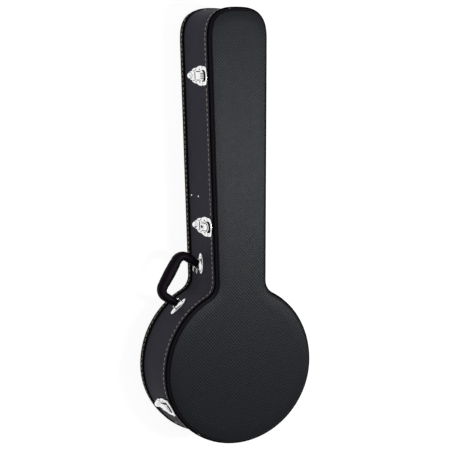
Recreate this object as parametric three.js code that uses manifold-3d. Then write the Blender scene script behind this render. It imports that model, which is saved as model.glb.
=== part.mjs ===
// Banjo case with a hard shell: a round pot, a straight neck and a hinged lid.
// It lies on its back: +Z up, +Y from the pot to the headstock end, handle and latches on the -X side.
// The origin is on the floor, under the middle of the pot. All lengths are in millimetres.
import * as THREE from 'three';
import { mergeVertices } from 'three/addons/utils/BufferGeometryUtils.js';
import Module from 'manifold-3d';

const wasm = await Module();
wasm.setup();

// Plan of the case
const potRadius = 197;
const potFootReach = 184;
const caseReach = 863;
const neckHalfAtPot = 67;
const neckHalfAtEnd = 79;
const neckOffsetAtPot = 3.5;
const neckOffsetAtEnd = -4.8;
const shoulderRadius = 40;
const endArchLength = 76;

// Heights of shell and lid
const shellHeight = 116;
const lidSideHeight = 34;
const lidEdgeRadius = 6;
const lidCrown = 1.6;

// Boards, coverings and the gaps between touching pieces
const seat = 0.3;
const seamGap = 0.4;
const wallThick = 5;
const backThick = 7.7;
const backEdgeRadius = 6;
const linerThick = 2.2;
const linerClearance = 0.6;
const linerLipHeight = 7;
const liningThick = 3;
const lidLiningThick = 5;
const edgeStripWidth = 8.7;
const panelBevel = 1.2;
const panelCrownReach = 22;

// Piping: a round bead and the flange that is sewn to the wall
const beadRadius = 2.6;
const beadStandOut = 3.3;
const flangeThick = 1;
const flangeWidth = 15;
const backBeadHeight = 26;

// Inside of the case
const potPadSide = 16;
const potPadFoot = 3;
const potPadTop = 112;
const cradleBeyondLatch = 70;
const cradleThick = 12;
const cradleTop = 92;
const cradleNotchRadius = 28;
const cradleNotchFloor = 62;
const coverLength = 74;
const coverThick = 4;
const coverUnderside = 60;
const endWallThick = 6;
const coverSlack = 0.5;
const coverLedgeWidth = 6;
const pullWidth = 16;
const pullLength = 14;
const pullThick = 1.2;

// Rivets and screws
const rivetRadius = 2.2;
const rivetHeight = 1.2;
const wallRivetLow = 40;
const wallRivetHigh = 76;

// Latches, measured outwards, along the wall and up from the seam
const endLatchInset = 158;
const neckLatchOut = 148;
const potLatchAngle = 26.4;
const potLatchTilt = 5;
const latchHalfWidth = 23.4;
const latchTail = 64;
const baseTop = 4;
const baseThick = 2.4;
const wellHalf = 10.2;
const wellFloor = -27;
const wellTop = -5;
const noseHalf = 8.6;
const noseLength = 17;
const noseHeight = 10.8;
const leverPinHeight = -22;
const leverPinOut = 4.8;
const leverPinRadius = 1.2;
const pinSlack = 0.3;
const lugThick = 2;
const lugHalfHeight = 3;
const leverHalf = 9.2;
const leverThick = 1.6;
const leverOut = 5.5;
const leverTip = 20;
const leverTipHalf = 11.2;
const lockLeverHalf = 11.6;
const lockHeight = -11;
const lockRadius = 7;
const lockStandOut = 1.6;
const lockRimWidth = 2.4;
const lockRimHeight = 0.9;
const keySlotWidth = 2.6;
const keySlotLength = 6;
const keySlotDepth = 2;
const hookOut = 3.3;
const hookThick = 1.2;
const hookHalf = 4.4;
const hookPivotHeight = -12;
const hookPivotRadius = 1.1;
const hookTop = 26.8;
const hookEarThick = 1.4;
const strikeFoot = 6.2;
const strikeTop = 31;
const strikeOut = 1.6;
const strikeThick = 1.7;
const strikeHalf = 22.4;
const strikeWindowHalf = 13.6;
const strikeWindowTop = 27.4;
const strikeRimHeight = 2.6;

// Handle: two oval plates, two wire loops and a padded grip
const handleHeight = 80;
const handlePlateOut = 57.5;
const handlePlateAngle = 49.6;
const handlePlateLength = 51;
const handlePlateWidth = 19.6;
const handlePlateThick = 3.4;
const handleEyeOut = 15;
const loopWireRadius = 1.3;
const loopHalfWidth = 11.5;
const loopBend = 3;
const eyeSlack = 0.5;
const handleReach = 50;
const handleBendRadius = 20;
const handleEndRadius = 8.4;
const handleArmRadius = 10;
const handleGripHalf = 14.6;
const handleGripHalfHeight = 12;

// Hinges: one on the pot, one at the headstock end, on one straight axis
const hingeOut = 5.6;
const knuckleRadius = 3.5;
const hingePinRadius = 1.6;
const hingeBoreSlack = 0.35;
const hingeWidths = [60, 42];
const knuckleGap = 0.5;
const leafThick = 1.3;
const shellLeafHeight = 26;
const lidLeafHeight = 15.5;
const leafStart = 2;
const webHeight = 6;
const webInset = 0.5;

// Numbers without a unit
const endArchPower = 2.8;
const potSteps = 8;
const footSteps = 24;
const shoulderSteps = 5;
const archSteps = 14;
const padSteps = 32;
const padHornShare = 0.84;
const neckMiddleShare = 0.5;
const bulgeShare = 0.86;
const bulgeHeightShare = 0.6;
const armShare = 0.88;
const gripSwellShare = 0.6;
const baseRivetAlongShare = 0.8;
const baseRivetUpShare = 0.14;
const strikeRivetUpShare = 0.36;
const rad = THREE.MathUtils.degToRad;

// Outline of the case in plan, from the right of the pot round over the neck and back
const neckStart = potRadius + shoulderRadius / 4;
const archStart = caseReach - endArchLength;

function taper(atPot, atEnd, y) {
  return atPot + (atEnd - atPot) * (y - neckStart) / (caseReach - neckStart);
}

const neckRight = (y) => taper(neckHalfAtPot + neckOffsetAtPot, neckHalfAtEnd + neckOffsetAtEnd, y);
const neckLeft = (y) => taper(neckHalfAtPot - neckOffsetAtPot, neckHalfAtEnd - neckOffsetAtEnd, y);

function shoulder(neckSide) {
  const slope = (neckSide(caseReach) - neckSide(neckStart)) / (caseReach - neckStart);
  const along = new THREE.Vector2(slope, 1).normalize();
  const out = new THREE.Vector2(along.y, -along.x);
  const start = new THREE.Vector2(neckSide(0), 0).addScaledVector(out, shoulderRadius);
  const reach = potRadius + shoulderRadius;
  const b = start.dot(along);
  const travel = Math.sqrt(b * b - start.lengthSq() + reach * reach) - b;
  const centre = start.addScaledVector(along, travel);
  return { centre, from: centre.angle() + Math.PI, to: out.angle() + Math.PI };
}

function sidePoints(neckSide) {
  const { centre, from, to } = shoulder(neckSide);
  const points = [];
  const potEnd = centre.angle();
  for (let i = 0; i < potSteps; i += 1) {
    const a = potEnd * i / potSteps;
    points.push(new THREE.Vector2(potRadius * Math.cos(a), potRadius * Math.sin(a)));
  }
  const last = to > Math.PI * 2 ? to - Math.PI * 2 : to;
  for (let i = 0; i <= shoulderSteps; i += 1) {
    const a = from + (last - from) * i / shoulderSteps;
    points.push(new THREE.Vector2(
      centre.x + shoulderRadius * Math.cos(a),
      centre.y + shoulderRadius * Math.sin(a),
    ));
  }
  const neckMiddle = (centre.y + archStart) * neckMiddleShare;
  points.push(new THREE.Vector2(neckSide(neckMiddle), neckMiddle));
  points.push(new THREE.Vector2(neckSide(archStart), archStart));
  return points;
}

const archHalf = (neckRight(archStart) + neckLeft(archStart)) / 2;
const archMiddle = neckRight(archStart) - archHalf;

function archPoints() {
  const points = [];
  for (let i = 1; i < archSteps; i += 1) {
    const a = Math.PI * i / archSteps;
    const c = Math.cos(a);
    points.push(new THREE.Vector2(
      archMiddle + archHalf * Math.sign(c) * Math.abs(c) ** (2 / endArchPower),
      archStart + endArchLength * Math.sin(a) ** (2 / endArchPower),
    ));
  }
  return points;
}

function footPoints() {
  const points = [];
  for (let i = 0; i < footSteps; i += 1) {
    const a = Math.PI + Math.PI * i / footSteps;
    points.push(new THREE.Vector2(potRadius * Math.cos(a), potFootReach * Math.sin(a)));
  }
  return points;
}

const latchReach = [caseReach - endLatchInset, potRadius + neckLatchOut];
const cradleReach = latchReach[1] + cradleBeyondLatch;

const mirrored = (points) => points.map((p) => new THREE.Vector2(-p.x, p.y)).reverse();
const leftSide = mirrored(sidePoints(neckLeft));
const outline = [...sidePoints(neckRight), ...archPoints(), ...leftSide.slice(0, -1), ...footPoints()];

function offsetPoint(points, i, distance) {
  const n = points.length;
  const before = points[(i + n - 1) % n];
  const here = points[i];
  const after = points[(i + 1) % n];
  const a = here.clone().sub(before).normalize();
  const b = after.clone().sub(here).normalize();
  const na = new THREE.Vector2(a.y, -a.x);
  const nb = new THREE.Vector2(b.y, -b.x);
  return here.clone().addScaledVector(na.clone().add(nb), distance / (1 + na.dot(nb)));
}

const outlineAt = (distance) => outline.map((p, i) => offsetPoint(outline, i, distance));

// Solids
function closedSolid(positions, indices) {
  const geometry = new THREE.BufferGeometry();
  geometry.setAttribute('position', new THREE.Float32BufferAttribute(positions, 3));
  geometry.setIndex(indices);
  return facingOut(geometry);
}

function facingOut(geometry) {
  const p = geometry.getAttribute('position');
  const index = geometry.getIndex().array;
  const [a, b, c] = [new THREE.Vector3(), new THREE.Vector3(), new THREE.Vector3()];
  let volume = 0;
  for (let i = 0; i < index.length; i += 3) {
    a.fromBufferAttribute(p, index[i]);
    b.fromBufferAttribute(p, index[i + 1]);
    c.fromBufferAttribute(p, index[i + 2]);
    volume += a.dot(b.cross(c));
  }
  if (volume < 0) {
    for (let i = 0; i < index.length; i += 3) {
      [index[i], index[i + 1]] = [index[i + 1], index[i]];
    }
  }
  return geometry;
}

// A closed body from rings of equal count, each ring a list of points
function skin(rings, isRing) {
  const n = rings[0].length;
  const positions = rings.flat().flatMap((p) => [p.x, p.y, p.z]);
  const indices = [];
  const bands = isRing ? rings.length : rings.length - 1;
  for (let r = 0; r < bands; r += 1) {
    const low = r * n;
    const high = ((r + 1) % rings.length) * n;
    for (let i = 0; i < n; i += 1) {
      const j = (i + 1) % n;
      indices.push(low + i, low + j, high + j, low + i, high + j, high + i);
    }
  }
  return { positions, indices, last: (rings.length - 1) * n };
}

// A ring or a plate that follows the case's outline: each row is [offset from the outline, height]
function aroundCase(rows, isRing) {
  const rings = rows.map(([distance, height]) => (
    outlineAt(distance).map((p) => new THREE.Vector3(p.x, p.y, height))
  ));
  const { positions, indices, last } = skin(rings, isRing);
  if (!isRing) {
    for (const [a, b, c] of THREE.ShapeUtils.triangulateShape(outlineAt(rows[0][0]), [])) {
      indices.push(c, b, a);
    }
    for (const [a, b, c] of THREE.ShapeUtils.triangulateShape(outlineAt(rows[rows.length - 1][0]), [])) {
      indices.push(last + a, last + b, last + c);
    }
  }
  return closedSolid(positions, indices);
}

// A body from round or oval rings, closed at both ends by a flat face
function stacked(rings) {
  const n = rings[0].length;
  const { positions, indices, last } = skin(rings, false);
  for (let i = 1; i < n - 1; i += 1) {
    indices.push(0, i + 1, i);
    indices.push(last, last + i, last + i + 1);
  }
  return closedSolid(positions, indices);
}

// A bar of changing section along a flat path: each station is {at, across, half, halfHeight}
function swept(stations, sides) {
  return stacked(stations.map(({ at, across, half, halfHeight }) => {
    const ring = [];
    for (let i = 0; i < sides; i += 1) {
      const a = Math.PI * 2 * i / sides;
      const side = half * Math.cos(a);
      const up = halfHeight * Math.sin(a);
      ring.push(new THREE.Vector3(at.x + across.x * side, at.y + across.y * side, up));
    }
    return ring;
  }));
}

function toManifold(geometry) {
  const bare = geometry.clone();
  bare.deleteAttribute('normal');
  bare.deleteAttribute('uv');
  const merged = mergeVertices(bare);
  return new wasm.Manifold(new wasm.Mesh({
    numProp: 3,
    vertProperties: Float32Array.from(merged.getAttribute('position').array),
    triVerts: Uint32Array.from(merged.getIndex().array),
  }));
}

function fromManifold(manifold) {
  const { numProp, vertProperties, triVerts } = manifold.getMesh();
  const positions = [];
  for (let i = 0; i < vertProperties.length; i += numProp) {
    positions.push(vertProperties[i], vertProperties[i + 1], vertProperties[i + 2]);
  }
  const geometry = new THREE.BufferGeometry();
  geometry.setAttribute('position', new THREE.Float32BufferAttribute(positions, 3));
  geometry.setIndex([...triVerts]);
  return geometry;
}

const join = (parts) => fromManifold(parts.map(toManifold).reduce((a, b) => a.add(b)));
function cut(body, tools) {
  return fromManifold(tools.map(toManifold).reduce((a, b) => a.subtract(b), toManifold(body)));
}

function plate(points, thick, holes = []) {
  const shape = new THREE.Shape(points);
  shape.holes = holes;
  return new THREE.ExtrudeGeometry(shape, { depth: thick, bevelEnabled: false });
}

// A plate drawn in (along the wall, up), its thickness pointing out of the wall
const wallTurn = new THREE.Matrix4().makeBasis(
  new THREE.Vector3(0, 1, 0),
  new THREE.Vector3(0, 0, 1),
  new THREE.Vector3(1, 0, 0),
);

function wallPlate(points, out, thick, holes = []) {
  return plate(points, thick, holes).applyMatrix4(wallTurn).translate(out, 0, 0);
}

const bothSides = (points) => [
  ...points.map(([half, up]) => new THREE.Vector2(half, up)),
  ...[...points].reverse().filter(([half]) => half > 0).map(([half, up]) => new THREE.Vector2(-half, up)),
];

function block(size, centre) {
  return new THREE.BoxGeometry(...size).translate(...centre);
}

// A round bar along Y
function bar(radius, length, sides, x, y, z) {
  return new THREE.CylinderGeometry(radius, radius, length, sides).translate(x, y, z);
}

// A round post along X, starting at out
function post(radius, length, sides, out, y, z) {
  return new THREE.CylinderGeometry(radius, radius, length, sides)
    .rotateZ(Math.PI / 2)
    .translate(out + length / 2, y, z);
}

// Rivet or screw heads standing on faces: each place is {out, along, up} in a wall's frame
const headProfileShares = [[0, 0], [1, 0], [0.86, 0.6], [0, 1]];
const headSides = 8;

function rivetHead(place) {
  const profile = headProfileShares.map(([r, h]) => new THREE.Vector2(r * rivetRadius, h * rivetHeight));
  return new THREE.LatheGeometry(profile, headSides)
    .rotateZ(-Math.PI / 2)
    .translate(place.out + seat, place.along, place.up);
}

// Frames on the wall: local X points out of the wall, Y along it, Z up
function wallFrame(x, y, angle, height) {
  return new THREE.Matrix4().makeRotationZ(angle).setPosition(x, y, height);
}

function neckWallFrame(y, height) {
  const slope = (neckLeft(caseReach) - neckLeft(neckStart)) / (caseReach - neckStart);
  return wallFrame(-neckLeft(y), y, Math.PI + Math.atan(slope), height);
}

function footWallFrame(degrees, height) {
  const a = rad(degrees);
  const x = -potRadius * Math.cos(a);
  const y = -potFootReach * Math.sin(a);
  const angle = Math.atan2(y / potFootReach ** 2, x / potRadius ** 2);
  return wallFrame(x, y, angle, height);
}

function potWallFrame(degrees, height) {
  const a = Math.PI - rad(degrees);
  return wallFrame(potRadius * Math.cos(a), potRadius * Math.sin(a), a, height);
}

// Finishes
function finish(color, roughness, metalness) {
  return new THREE.MeshStandardMaterial({ color, roughness, metalness });
}
const vinyl = () => finish(0x33333a, 0.55, 0);
const grainedVinyl = () => finish(0x393a3d, 0.6, 0);
const bindingVinyl = () => finish(0x121014, 0.4, 0);
const plush = () => finish(0x2b2b30, 0.95, 0);
const nickel = () => finish(0xd8d9dc, 0.18, 1);
const leather = () => finish(0x17141a, 0.5, 0);

function named(name, geometry, material, matrix) {
  const mesh = new THREE.Mesh(geometry, material);
  mesh.name = name;
  if (matrix) {
    mesh.applyMatrix4(matrix);
  }
  return mesh;
}

// Shell and lid
const seamZ = shellHeight;
const lidWallFoot = shellHeight + seamGap;
const beadZ = shellHeight + lidSideHeight;
const linerOuter = -wallThick - linerClearance;
const linerInner = linerOuter - linerThick;
const liningOuter = linerInner - seat;
const lidTopZ = beadZ + lidEdgeRadius;
const lidLiningFoot = beadZ - seat - lidLiningThick;
const shellFloor = backThick + seat;
const padFloor = shellFloor + liningThick + seat;

function wallRing(outer, inner, foot, top) {
  return aroundCase([[outer, foot], [outer, top], [inner, top], [inner, foot]], true);
}

function piping(beadHeight, flangeDirection) {
  const tip = beadHeight + flangeDirection * flangeWidth;
  const neckZ = beadHeight + flangeDirection * beadRadius;
  const rows = [
    [seat, tip],
    [seat + flangeThick, tip],
    [seat + flangeThick, neckZ],
    [beadStandOut * bulgeShare, beadHeight + flangeDirection * beadRadius * bulgeHeightShare],
    [beadStandOut, beadHeight],
    [beadStandOut * bulgeShare, beadHeight - flangeDirection * beadRadius * bulgeHeightShare],
    [seat + flangeThick, beadHeight - flangeDirection * beadRadius],
    [seat, beadHeight - flangeDirection * beadRadius],
  ];
  return aroundCase(rows, true);
}

// A quarter round in three steps, as shares of its radius
const quarterRoundShares = [[0, 0], [0.134, 0.5], [0.5, 0.866], [1, 1]];

function backPanel() {
  const rows = [...quarterRoundShares].reverse()
    .map(([inwards, up]) => [-inwards * backEdgeRadius, backEdgeRadius * (1 - up)]);
  rows.push([0, backThick]);
  return aroundCase(rows, false);
}

function lidEdgeStrip() {
  const foot = beadZ - seat / 2;
  const rows = quarterRoundShares
    .map(([inwards, up]) => [-inwards * lidEdgeRadius, beadZ + up * lidEdgeRadius]);
  return aroundCase([[0, foot], ...rows, [-edgeStripWidth, lidTopZ], [-edgeStripWidth, foot]], true);
}

function lidPanel() {
  const edge = -edgeStripWidth - seat;
  return aroundCase([
    [edge, beadZ - seat / 2],
    [edge, lidTopZ - panelBevel / 2],
    [edge - panelBevel, lidTopZ + panelBevel / 2],
    [edge - panelCrownReach, lidTopZ + lidCrown],
  ], false);
}

function shellPieces() {
  return [
    named('shell_wall', wallRing(0, -wallThick, shellFloor, shellHeight), vinyl()),
    named('back_panel', backPanel(), grainedVinyl()),
    named('back_piping', piping(backBeadHeight, -1), bindingVinyl()),
    named('shell_liner', wallRing(linerOuter, linerInner, shellFloor, seamZ + linerLipHeight), plush()),
    named('floor_lining', aroundCase([
      [liningOuter, shellFloor],
      [liningOuter, shellFloor + liningThick],
    ], false), plush()),
    named('pot_pad', potPad(), plush()),
    named('neck_cradle', neckCradle(), plush()),
    named('compartment_end_wall', compartmentEndWall(), plush()),
  ];
}

function lidPieces() {
  return [
    named('lid_wall', wallRing(0, -wallThick, lidWallFoot, beadZ - seat), vinyl()),
    named('lid_edge', lidEdgeStrip(), bindingVinyl()),
    named('lid_panel', lidPanel(), grainedVinyl()),
    named('lid_piping', piping(beadZ, -1), bindingVinyl()),
    named('lid_lining', aroundCase([
      [liningOuter, lidLiningFoot],
      [liningOuter, beadZ - seat * 2],
    ], false), plush()),
    named('lid_liner', wallRing(
      -wallThick - seat,
      linerInner,
      seamZ + linerLipHeight + seamGap * 2,
      beadZ - seat * 2,
    ), plush()),
  ];
}

// Padding round the instrument's pot: a C of foam, open towards the neck
function potPad() {
  const ring = outlineAt(liningOuter);
  const half = ring.length / 2;
  const horn = (potRadius + liningOuter - potPadSide) * padHornShare;
  const outer = [
    ...ring.filter((p, i) => i > half && p.y < horn),
    ...ring.filter((p, i) => i < half && p.y < horn),
  ];
  const side = potRadius + liningOuter - potPadSide;
  const foot = potFootReach + liningOuter - potPadFoot;
  const start = Math.asin(padHornShare);
  const inner = [];
  for (let i = 0; i <= padSteps; i += 1) {
    const a = start - (Math.PI + start * 2) * i / padSteps;
    inner.push(new THREE.Vector2(side * Math.cos(a), (a > 0 || a < -Math.PI ? side : foot) * Math.sin(a)));
  }
  return plate([...outer, ...inner], potPadTop - padFloor).translate(0, 0, padFloor);
}

function crossBoardRange(y) {
  return [-neckLeft(y) - liningOuter + linerThick / 2, neckRight(y) + liningOuter - linerThick / 2];
}

// Board across the neck with a round notch for the instrument's neck
function neckCradle() {
  const [left, right] = crossBoardRange(cradleReach);
  const middle = (left + right) / 2;
  const notchCentre = cradleNotchFloor + cradleNotchRadius;
  const notch = new THREE.Path().absarc(middle, notchCentre, cradleNotchRadius, 0, -Math.PI, true);
  const points = [
    new THREE.Vector2(left, padFloor),
    new THREE.Vector2(right, padFloor),
    new THREE.Vector2(right, cradleTop),
    new THREE.Vector2(middle + cradleNotchRadius, cradleTop),
    ...notch.getPoints(10),
    new THREE.Vector2(middle - cradleNotchRadius, cradleTop),
    new THREE.Vector2(left, cradleTop),
  ];
  const upright = plate(points, cradleThick)
    .rotateX(Math.PI / 2)
    .translate(0, cradleReach + cradleThick / 2, 0);
  const ledgeTop = coverUnderside - seat;
  const ledgeDepth = coverLedgeWidth + cradleThick / 2;
  const ledge = block(
    [right - left, ledgeDepth, ledgeTop - padFloor],
    [middle, cradleReach + cradleThick / 4 + ledgeDepth / 2, (ledgeTop + padFloor) / 2],
  );
  return join([upright, ledge]);
}

const coverFront = cradleReach + cradleThick / 2 + coverSlack;
const coverBack = coverFront + coverLength;

function compartmentEndWall() {
  const [left, right] = crossBoardRange(coverBack);
  const top = coverUnderside + coverThick;
  return block(
    [right - left, endWallThick, top - padFloor],
    [(left + right) / 2, coverBack + coverSlack + endWallThick / 2, (top + padFloor) / 2],
  );
}

function compartmentPieces() {
  const [left, right] = crossBoardRange(cradleReach);
  const width = right - left;
  const middle = (left + right) / 2;
  const cover = block(
    [width, coverLength, coverThick],
    [middle, (coverFront + coverBack) / 2, coverUnderside + coverThick / 2],
  );
  const pull = block(
    [pullWidth, pullLength, pullThick],
    [middle, coverFront + pullLength, coverUnderside + coverThick + seat + pullThick / 2],
  );
  return [
    named('compartment_cover', cover, plush()),
    named('compartment_pull', pull, leather()),
  ];
}

// Latches
const basePlateShares = [
  [0, -1], [0.26, -0.97], [0.4, -0.89], [0.45, -0.79], [0.5, -0.735], [0.62, -0.715], [0.67, -0.66],
  [0.75, -0.56], [0.79, -0.4], [0.82, -0.33], [0.91, -0.27], [0.98, -0.15], [1, -0.04],
];
const strikeOuterShares = [[1, 0.2], [1, 0.5], [0.96, 0.8], [0.86, 0.92], [0.45, 0.985], [0, 1]];
const leverTipShares = [[0.7, 0.55], [1, 0.7], [0.96, 0.86], [0.55, 0.97], [0, 1]];
const windowShares = [[1, 0], [1, 0.62], [0.86, 0.84], [0.5, 0.97], [0, 1]];

function latchBase() {
  const points = bothSides([
    ...basePlateShares.map(([half, up]) => [half * latchHalfWidth, up * latchTail]),
    [latchHalfWidth, baseTop],
  ]);
  const well = new THREE.Path([
    new THREE.Vector2(-wellHalf, wellFloor),
    new THREE.Vector2(wellHalf, wellFloor),
    new THREE.Vector2(wellHalf, wellTop),
    new THREE.Vector2(-wellHalf, wellTop),
  ]);
  const sheet = wallPlate(points, seat, baseThick, [well]);
  const nose = new THREE.SphereGeometry(1, 14, 10)
    .scale(noseHeight, noseHalf, noseLength / 2)
    .translate(0, 0, -latchTail + noseLength / 2);
  const behind = block(
    [noseHeight * 2, noseHalf * 4, noseLength * 2],
    [seat - noseHeight, 0, -latchTail + noseLength / 2],
  );
  const lugHeight = leverPinOut + leverPinRadius + lugThick / 2 - seat - baseThick / 2;
  const lugs = [-1, 1].map((side) => block(
    [lugHeight, lugThick, lugHalfHeight * 2],
    [seat + baseThick / 2 + lugHeight / 2, side * (leverHalf + seat + lugThick / 2), leverPinHeight],
  ));
  const bore = bar(leverPinRadius + pinSlack, latchHalfWidth * 2, 12, leverPinOut, 0, leverPinHeight);
  return cut(join([sheet, cut(nose, [behind]), ...lugs]), [bore]);
}

function hookEars(pivotHalf) {
  return [-1, 1].map((side) => block(
    [leverOut - hookOut + leverThick / 2, hookEarThick, hookPivotRadius * 3],
    [
      (leverOut + hookOut + leverThick / 2) / 2,
      side * (pivotHalf + seat + hookEarThick / 2),
      hookPivotHeight,
    ],
  ));
}

function leverBarrel() {
  return bar(leverOut + leverThick - leverPinOut, leverHalf * 2, 12, leverPinOut, 0, leverPinHeight);
}

function leverBore() {
  return bar(leverPinRadius + pinSlack, latchHalfWidth * 2, 12, leverPinOut, 0, leverPinHeight);
}

function plainLever() {
  const points = bothSides([
    [leverHalf, leverPinHeight],
    ...leverTipShares.map(([half, up]) => [half * leverTipHalf, up * leverTip]),
  ]);
  const sheet = wallPlate(points, leverOut, leverThick);
  return cut(join([sheet, leverBarrel(), ...hookEars(hookHalf)]), [leverBore()]);
}

function lockLever() {
  const round = [];
  const roundCentre = leverTip - lockLeverHalf;
  for (let i = 0; i <= 6; i += 1) {
    const a = Math.PI * i / 12;
    round.push([lockLeverHalf * Math.cos(a) * (i < 6 ? 1 : 0), roundCentre + lockLeverHalf * Math.sin(a)]);
  }
  const points = bothSides([
    [leverHalf, leverPinHeight],
    [leverHalf, leverPinHeight + lugHalfHeight + seat],
    [lockLeverHalf, leverPinHeight + lugHalfHeight * 2],
    ...round,
  ]);
  const rimRadius = lockRadius + seat + lockRimWidth;
  const rim = post(rimRadius, lockRimHeight + leverThick / 2, 20, leverOut + leverThick / 2, 0, lockHeight);
  const hole = post(lockRadius + seat, lockStandOut * 6, 20, leverOut - lockStandOut, 0, lockHeight);
  const sheet = wallPlate(points, leverOut, leverThick);
  const body = join([sheet, rim, leverBarrel()]);
  const bored = cut(body, [hole, leverBore()]);
  return join([bored, ...hookEars(lockHookPivotHalf)]);
}

function lockCylinder() {
  const start = leverOut - seat / 2;
  const body = post(lockRadius, leverThick + lockStandOut + seat / 2, 20, start, 0, lockHeight);
  const top = leverOut + leverThick + lockStandOut;
  const slot = block([keySlotDepth * 2, keySlotLength, keySlotWidth], [top, 0, lockHeight]);
  return cut(body, [slot]);
}

function latchHook(pivotHalf) {
  const points = bothSides([
    [hookHalf, hookPivotHeight],
    [hookHalf, hookTop - hookHalf / 2],
    [hookHalf / 2, hookTop],
  ]);
  const sheet = wallPlate(points, hookOut, hookThick);
  const barrel = bar(hookPivotRadius, pivotHalf * 2, 10, hookOut + hookThick / 2, 0, hookPivotHeight);
  return join([sheet, barrel]);
}

function strike() {
  const outer = strikeOuterShares.map(([half, up]) => [half * strikeHalf, up * strikeTop]);
  const inner = windowShares.map(([half, up]) => [
    half * strikeWindowHalf,
    strikeFoot + up * (strikeWindowTop - strikeFoot),
  ]);
  const horseshoe = [
    ...outer.map(([half, up]) => new THREE.Vector2(half, up)),
    ...[...outer].reverse().slice(1).map(([half, up]) => new THREE.Vector2(-half, up)),
    ...inner.map(([half, up]) => new THREE.Vector2(-half, up)),
    ...[...inner].reverse().slice(1).map(([half, up]) => new THREE.Vector2(half, up)),
  ];
  const sheet = wallPlate(horseshoe, strikeOut, strikeThick);
  const rimOuter = outer.slice(2);
  const rimInner = inner.slice(2);
  const rimPoints = [
    ...rimOuter.map(([half, up]) => new THREE.Vector2(half, up)),
    ...[...rimOuter].reverse().slice(1).map(([half, up]) => new THREE.Vector2(-half, up)),
    ...rimInner.map(([half, up]) => new THREE.Vector2(-half, up)),
    ...[...rimInner].reverse().slice(1).map(([half, up]) => new THREE.Vector2(half, up)),
  ];
  const rim = wallPlate(rimPoints, strikeOut + strikeThick / 2, strikeThick / 2 + strikeRimHeight);
  return join([sheet, rim]);
}

const lockHookPivotHalf = lockRadius + seat * 2;
const latchFrames = [
  ...latchReach.map((y) => neckWallFrame(y, seamZ)),
  footWallFrame(potLatchAngle, seamZ).multiply(new THREE.Matrix4().makeRotationX(rad(potLatchTilt))),
];

const baseRivetAlong = latchHalfWidth * baseRivetAlongShare;
const baseRivetUp = -latchTail * baseRivetUpShare;
const strikeRivetAlong = (strikeHalf + strikeWindowHalf) / 2;
const strikeRivetUp = strikeTop * strikeRivetUpShare;

function rivets(name, frames, places) {
  return frames.flatMap((frame, i) => places.map((place, k) => (
    named(`${name}_${i + 1}_${k + 1}`, rivetHead(place), nickel(), frame)
  )));
}

function latchPieces() {
  const pieces = [];
  latchFrames.forEach((frame, i) => {
    const name = `latch_${i + 1}`;
    const isLock = i === 1;
    pieces.push(named(`${name}_base`, latchBase(), nickel(), frame));
    pieces.push(named(`${name}_pin`, leverPin(), nickel(), frame));
    pieces.push(named(`${name}_lever`, isLock ? lockLever() : plainLever(), nickel(), frame));
    pieces.push(named(`${name}_hook`, latchHook(isLock ? lockHookPivotHalf : hookHalf), nickel(), frame));
    pieces.push(named(`${name}_strike`, strike(), nickel(), frame));
    if (isLock) {
      pieces.push(named('lock_cylinder', lockCylinder(), nickel(), frame));
    }
  });
  pieces.push(...rivets('base_rivet', latchFrames, [-1, 1].map((side) => (
    { out: seat + baseThick, along: side * baseRivetAlong, up: baseRivetUp }
  ))));
  pieces.push(...rivets('strike_rivet', latchFrames, [-1, 1].map((side) => (
    { out: strikeOut + strikeThick, along: side * strikeRivetAlong, up: strikeRivetUp }
  ))));
  return pieces;
}

function leverPin() {
  const length = 2 * (leverHalf + seat + lugThick);
  return bar(leverPinRadius, length, 10, leverPinOut, 0, leverPinHeight);
}

// Handle
const upperPlateFrame = neckWallFrame(potRadius + handlePlateOut, handleHeight);
const lowerPlateFrame = potWallFrame(handlePlateAngle, handleHeight);
const upperEye = new THREE.Vector3(handleEyeOut, 0, 0).applyMatrix4(upperPlateFrame);
const lowerEye = new THREE.Vector3(handleEyeOut, 0, 0).applyMatrix4(lowerPlateFrame);
const eyeLine = upperEye.clone().sub(lowerEye);
const eyeHalf = eyeLine.length() / 2;
const handleMiddle = upperEye.clone().add(lowerEye).multiplyScalar(0.5);
const handleAngle = Math.atan2(eyeLine.y, eyeLine.x) + Math.PI / 2;
const handleFrame = wallFrame(handleMiddle.x, handleMiddle.y, handleAngle, handleHeight);

// Oval plate with a rounded edge: each row is [share of the half size, share of the thickness]
const plateShares = [[1, 0], [1, 0.35], [0.93, 0.62], [0.8, 0.85], [0.55, 1]];

function domedPlate() {
  const steps = 24;
  return stacked(plateShares.map(([size, up]) => {
    const ring = [];
    for (let i = 0; i < steps; i += 1) {
      const a = Math.PI * 2 * i / steps;
      ring.push(new THREE.Vector3(
        seat + up * handlePlateThick,
        size * handlePlateLength / 2 * Math.cos(a),
        (handlePlateWidth - (1 - size) * handlePlateLength) / 2 * Math.sin(a),
      ));
    }
    return ring;
  }));
}

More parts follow.
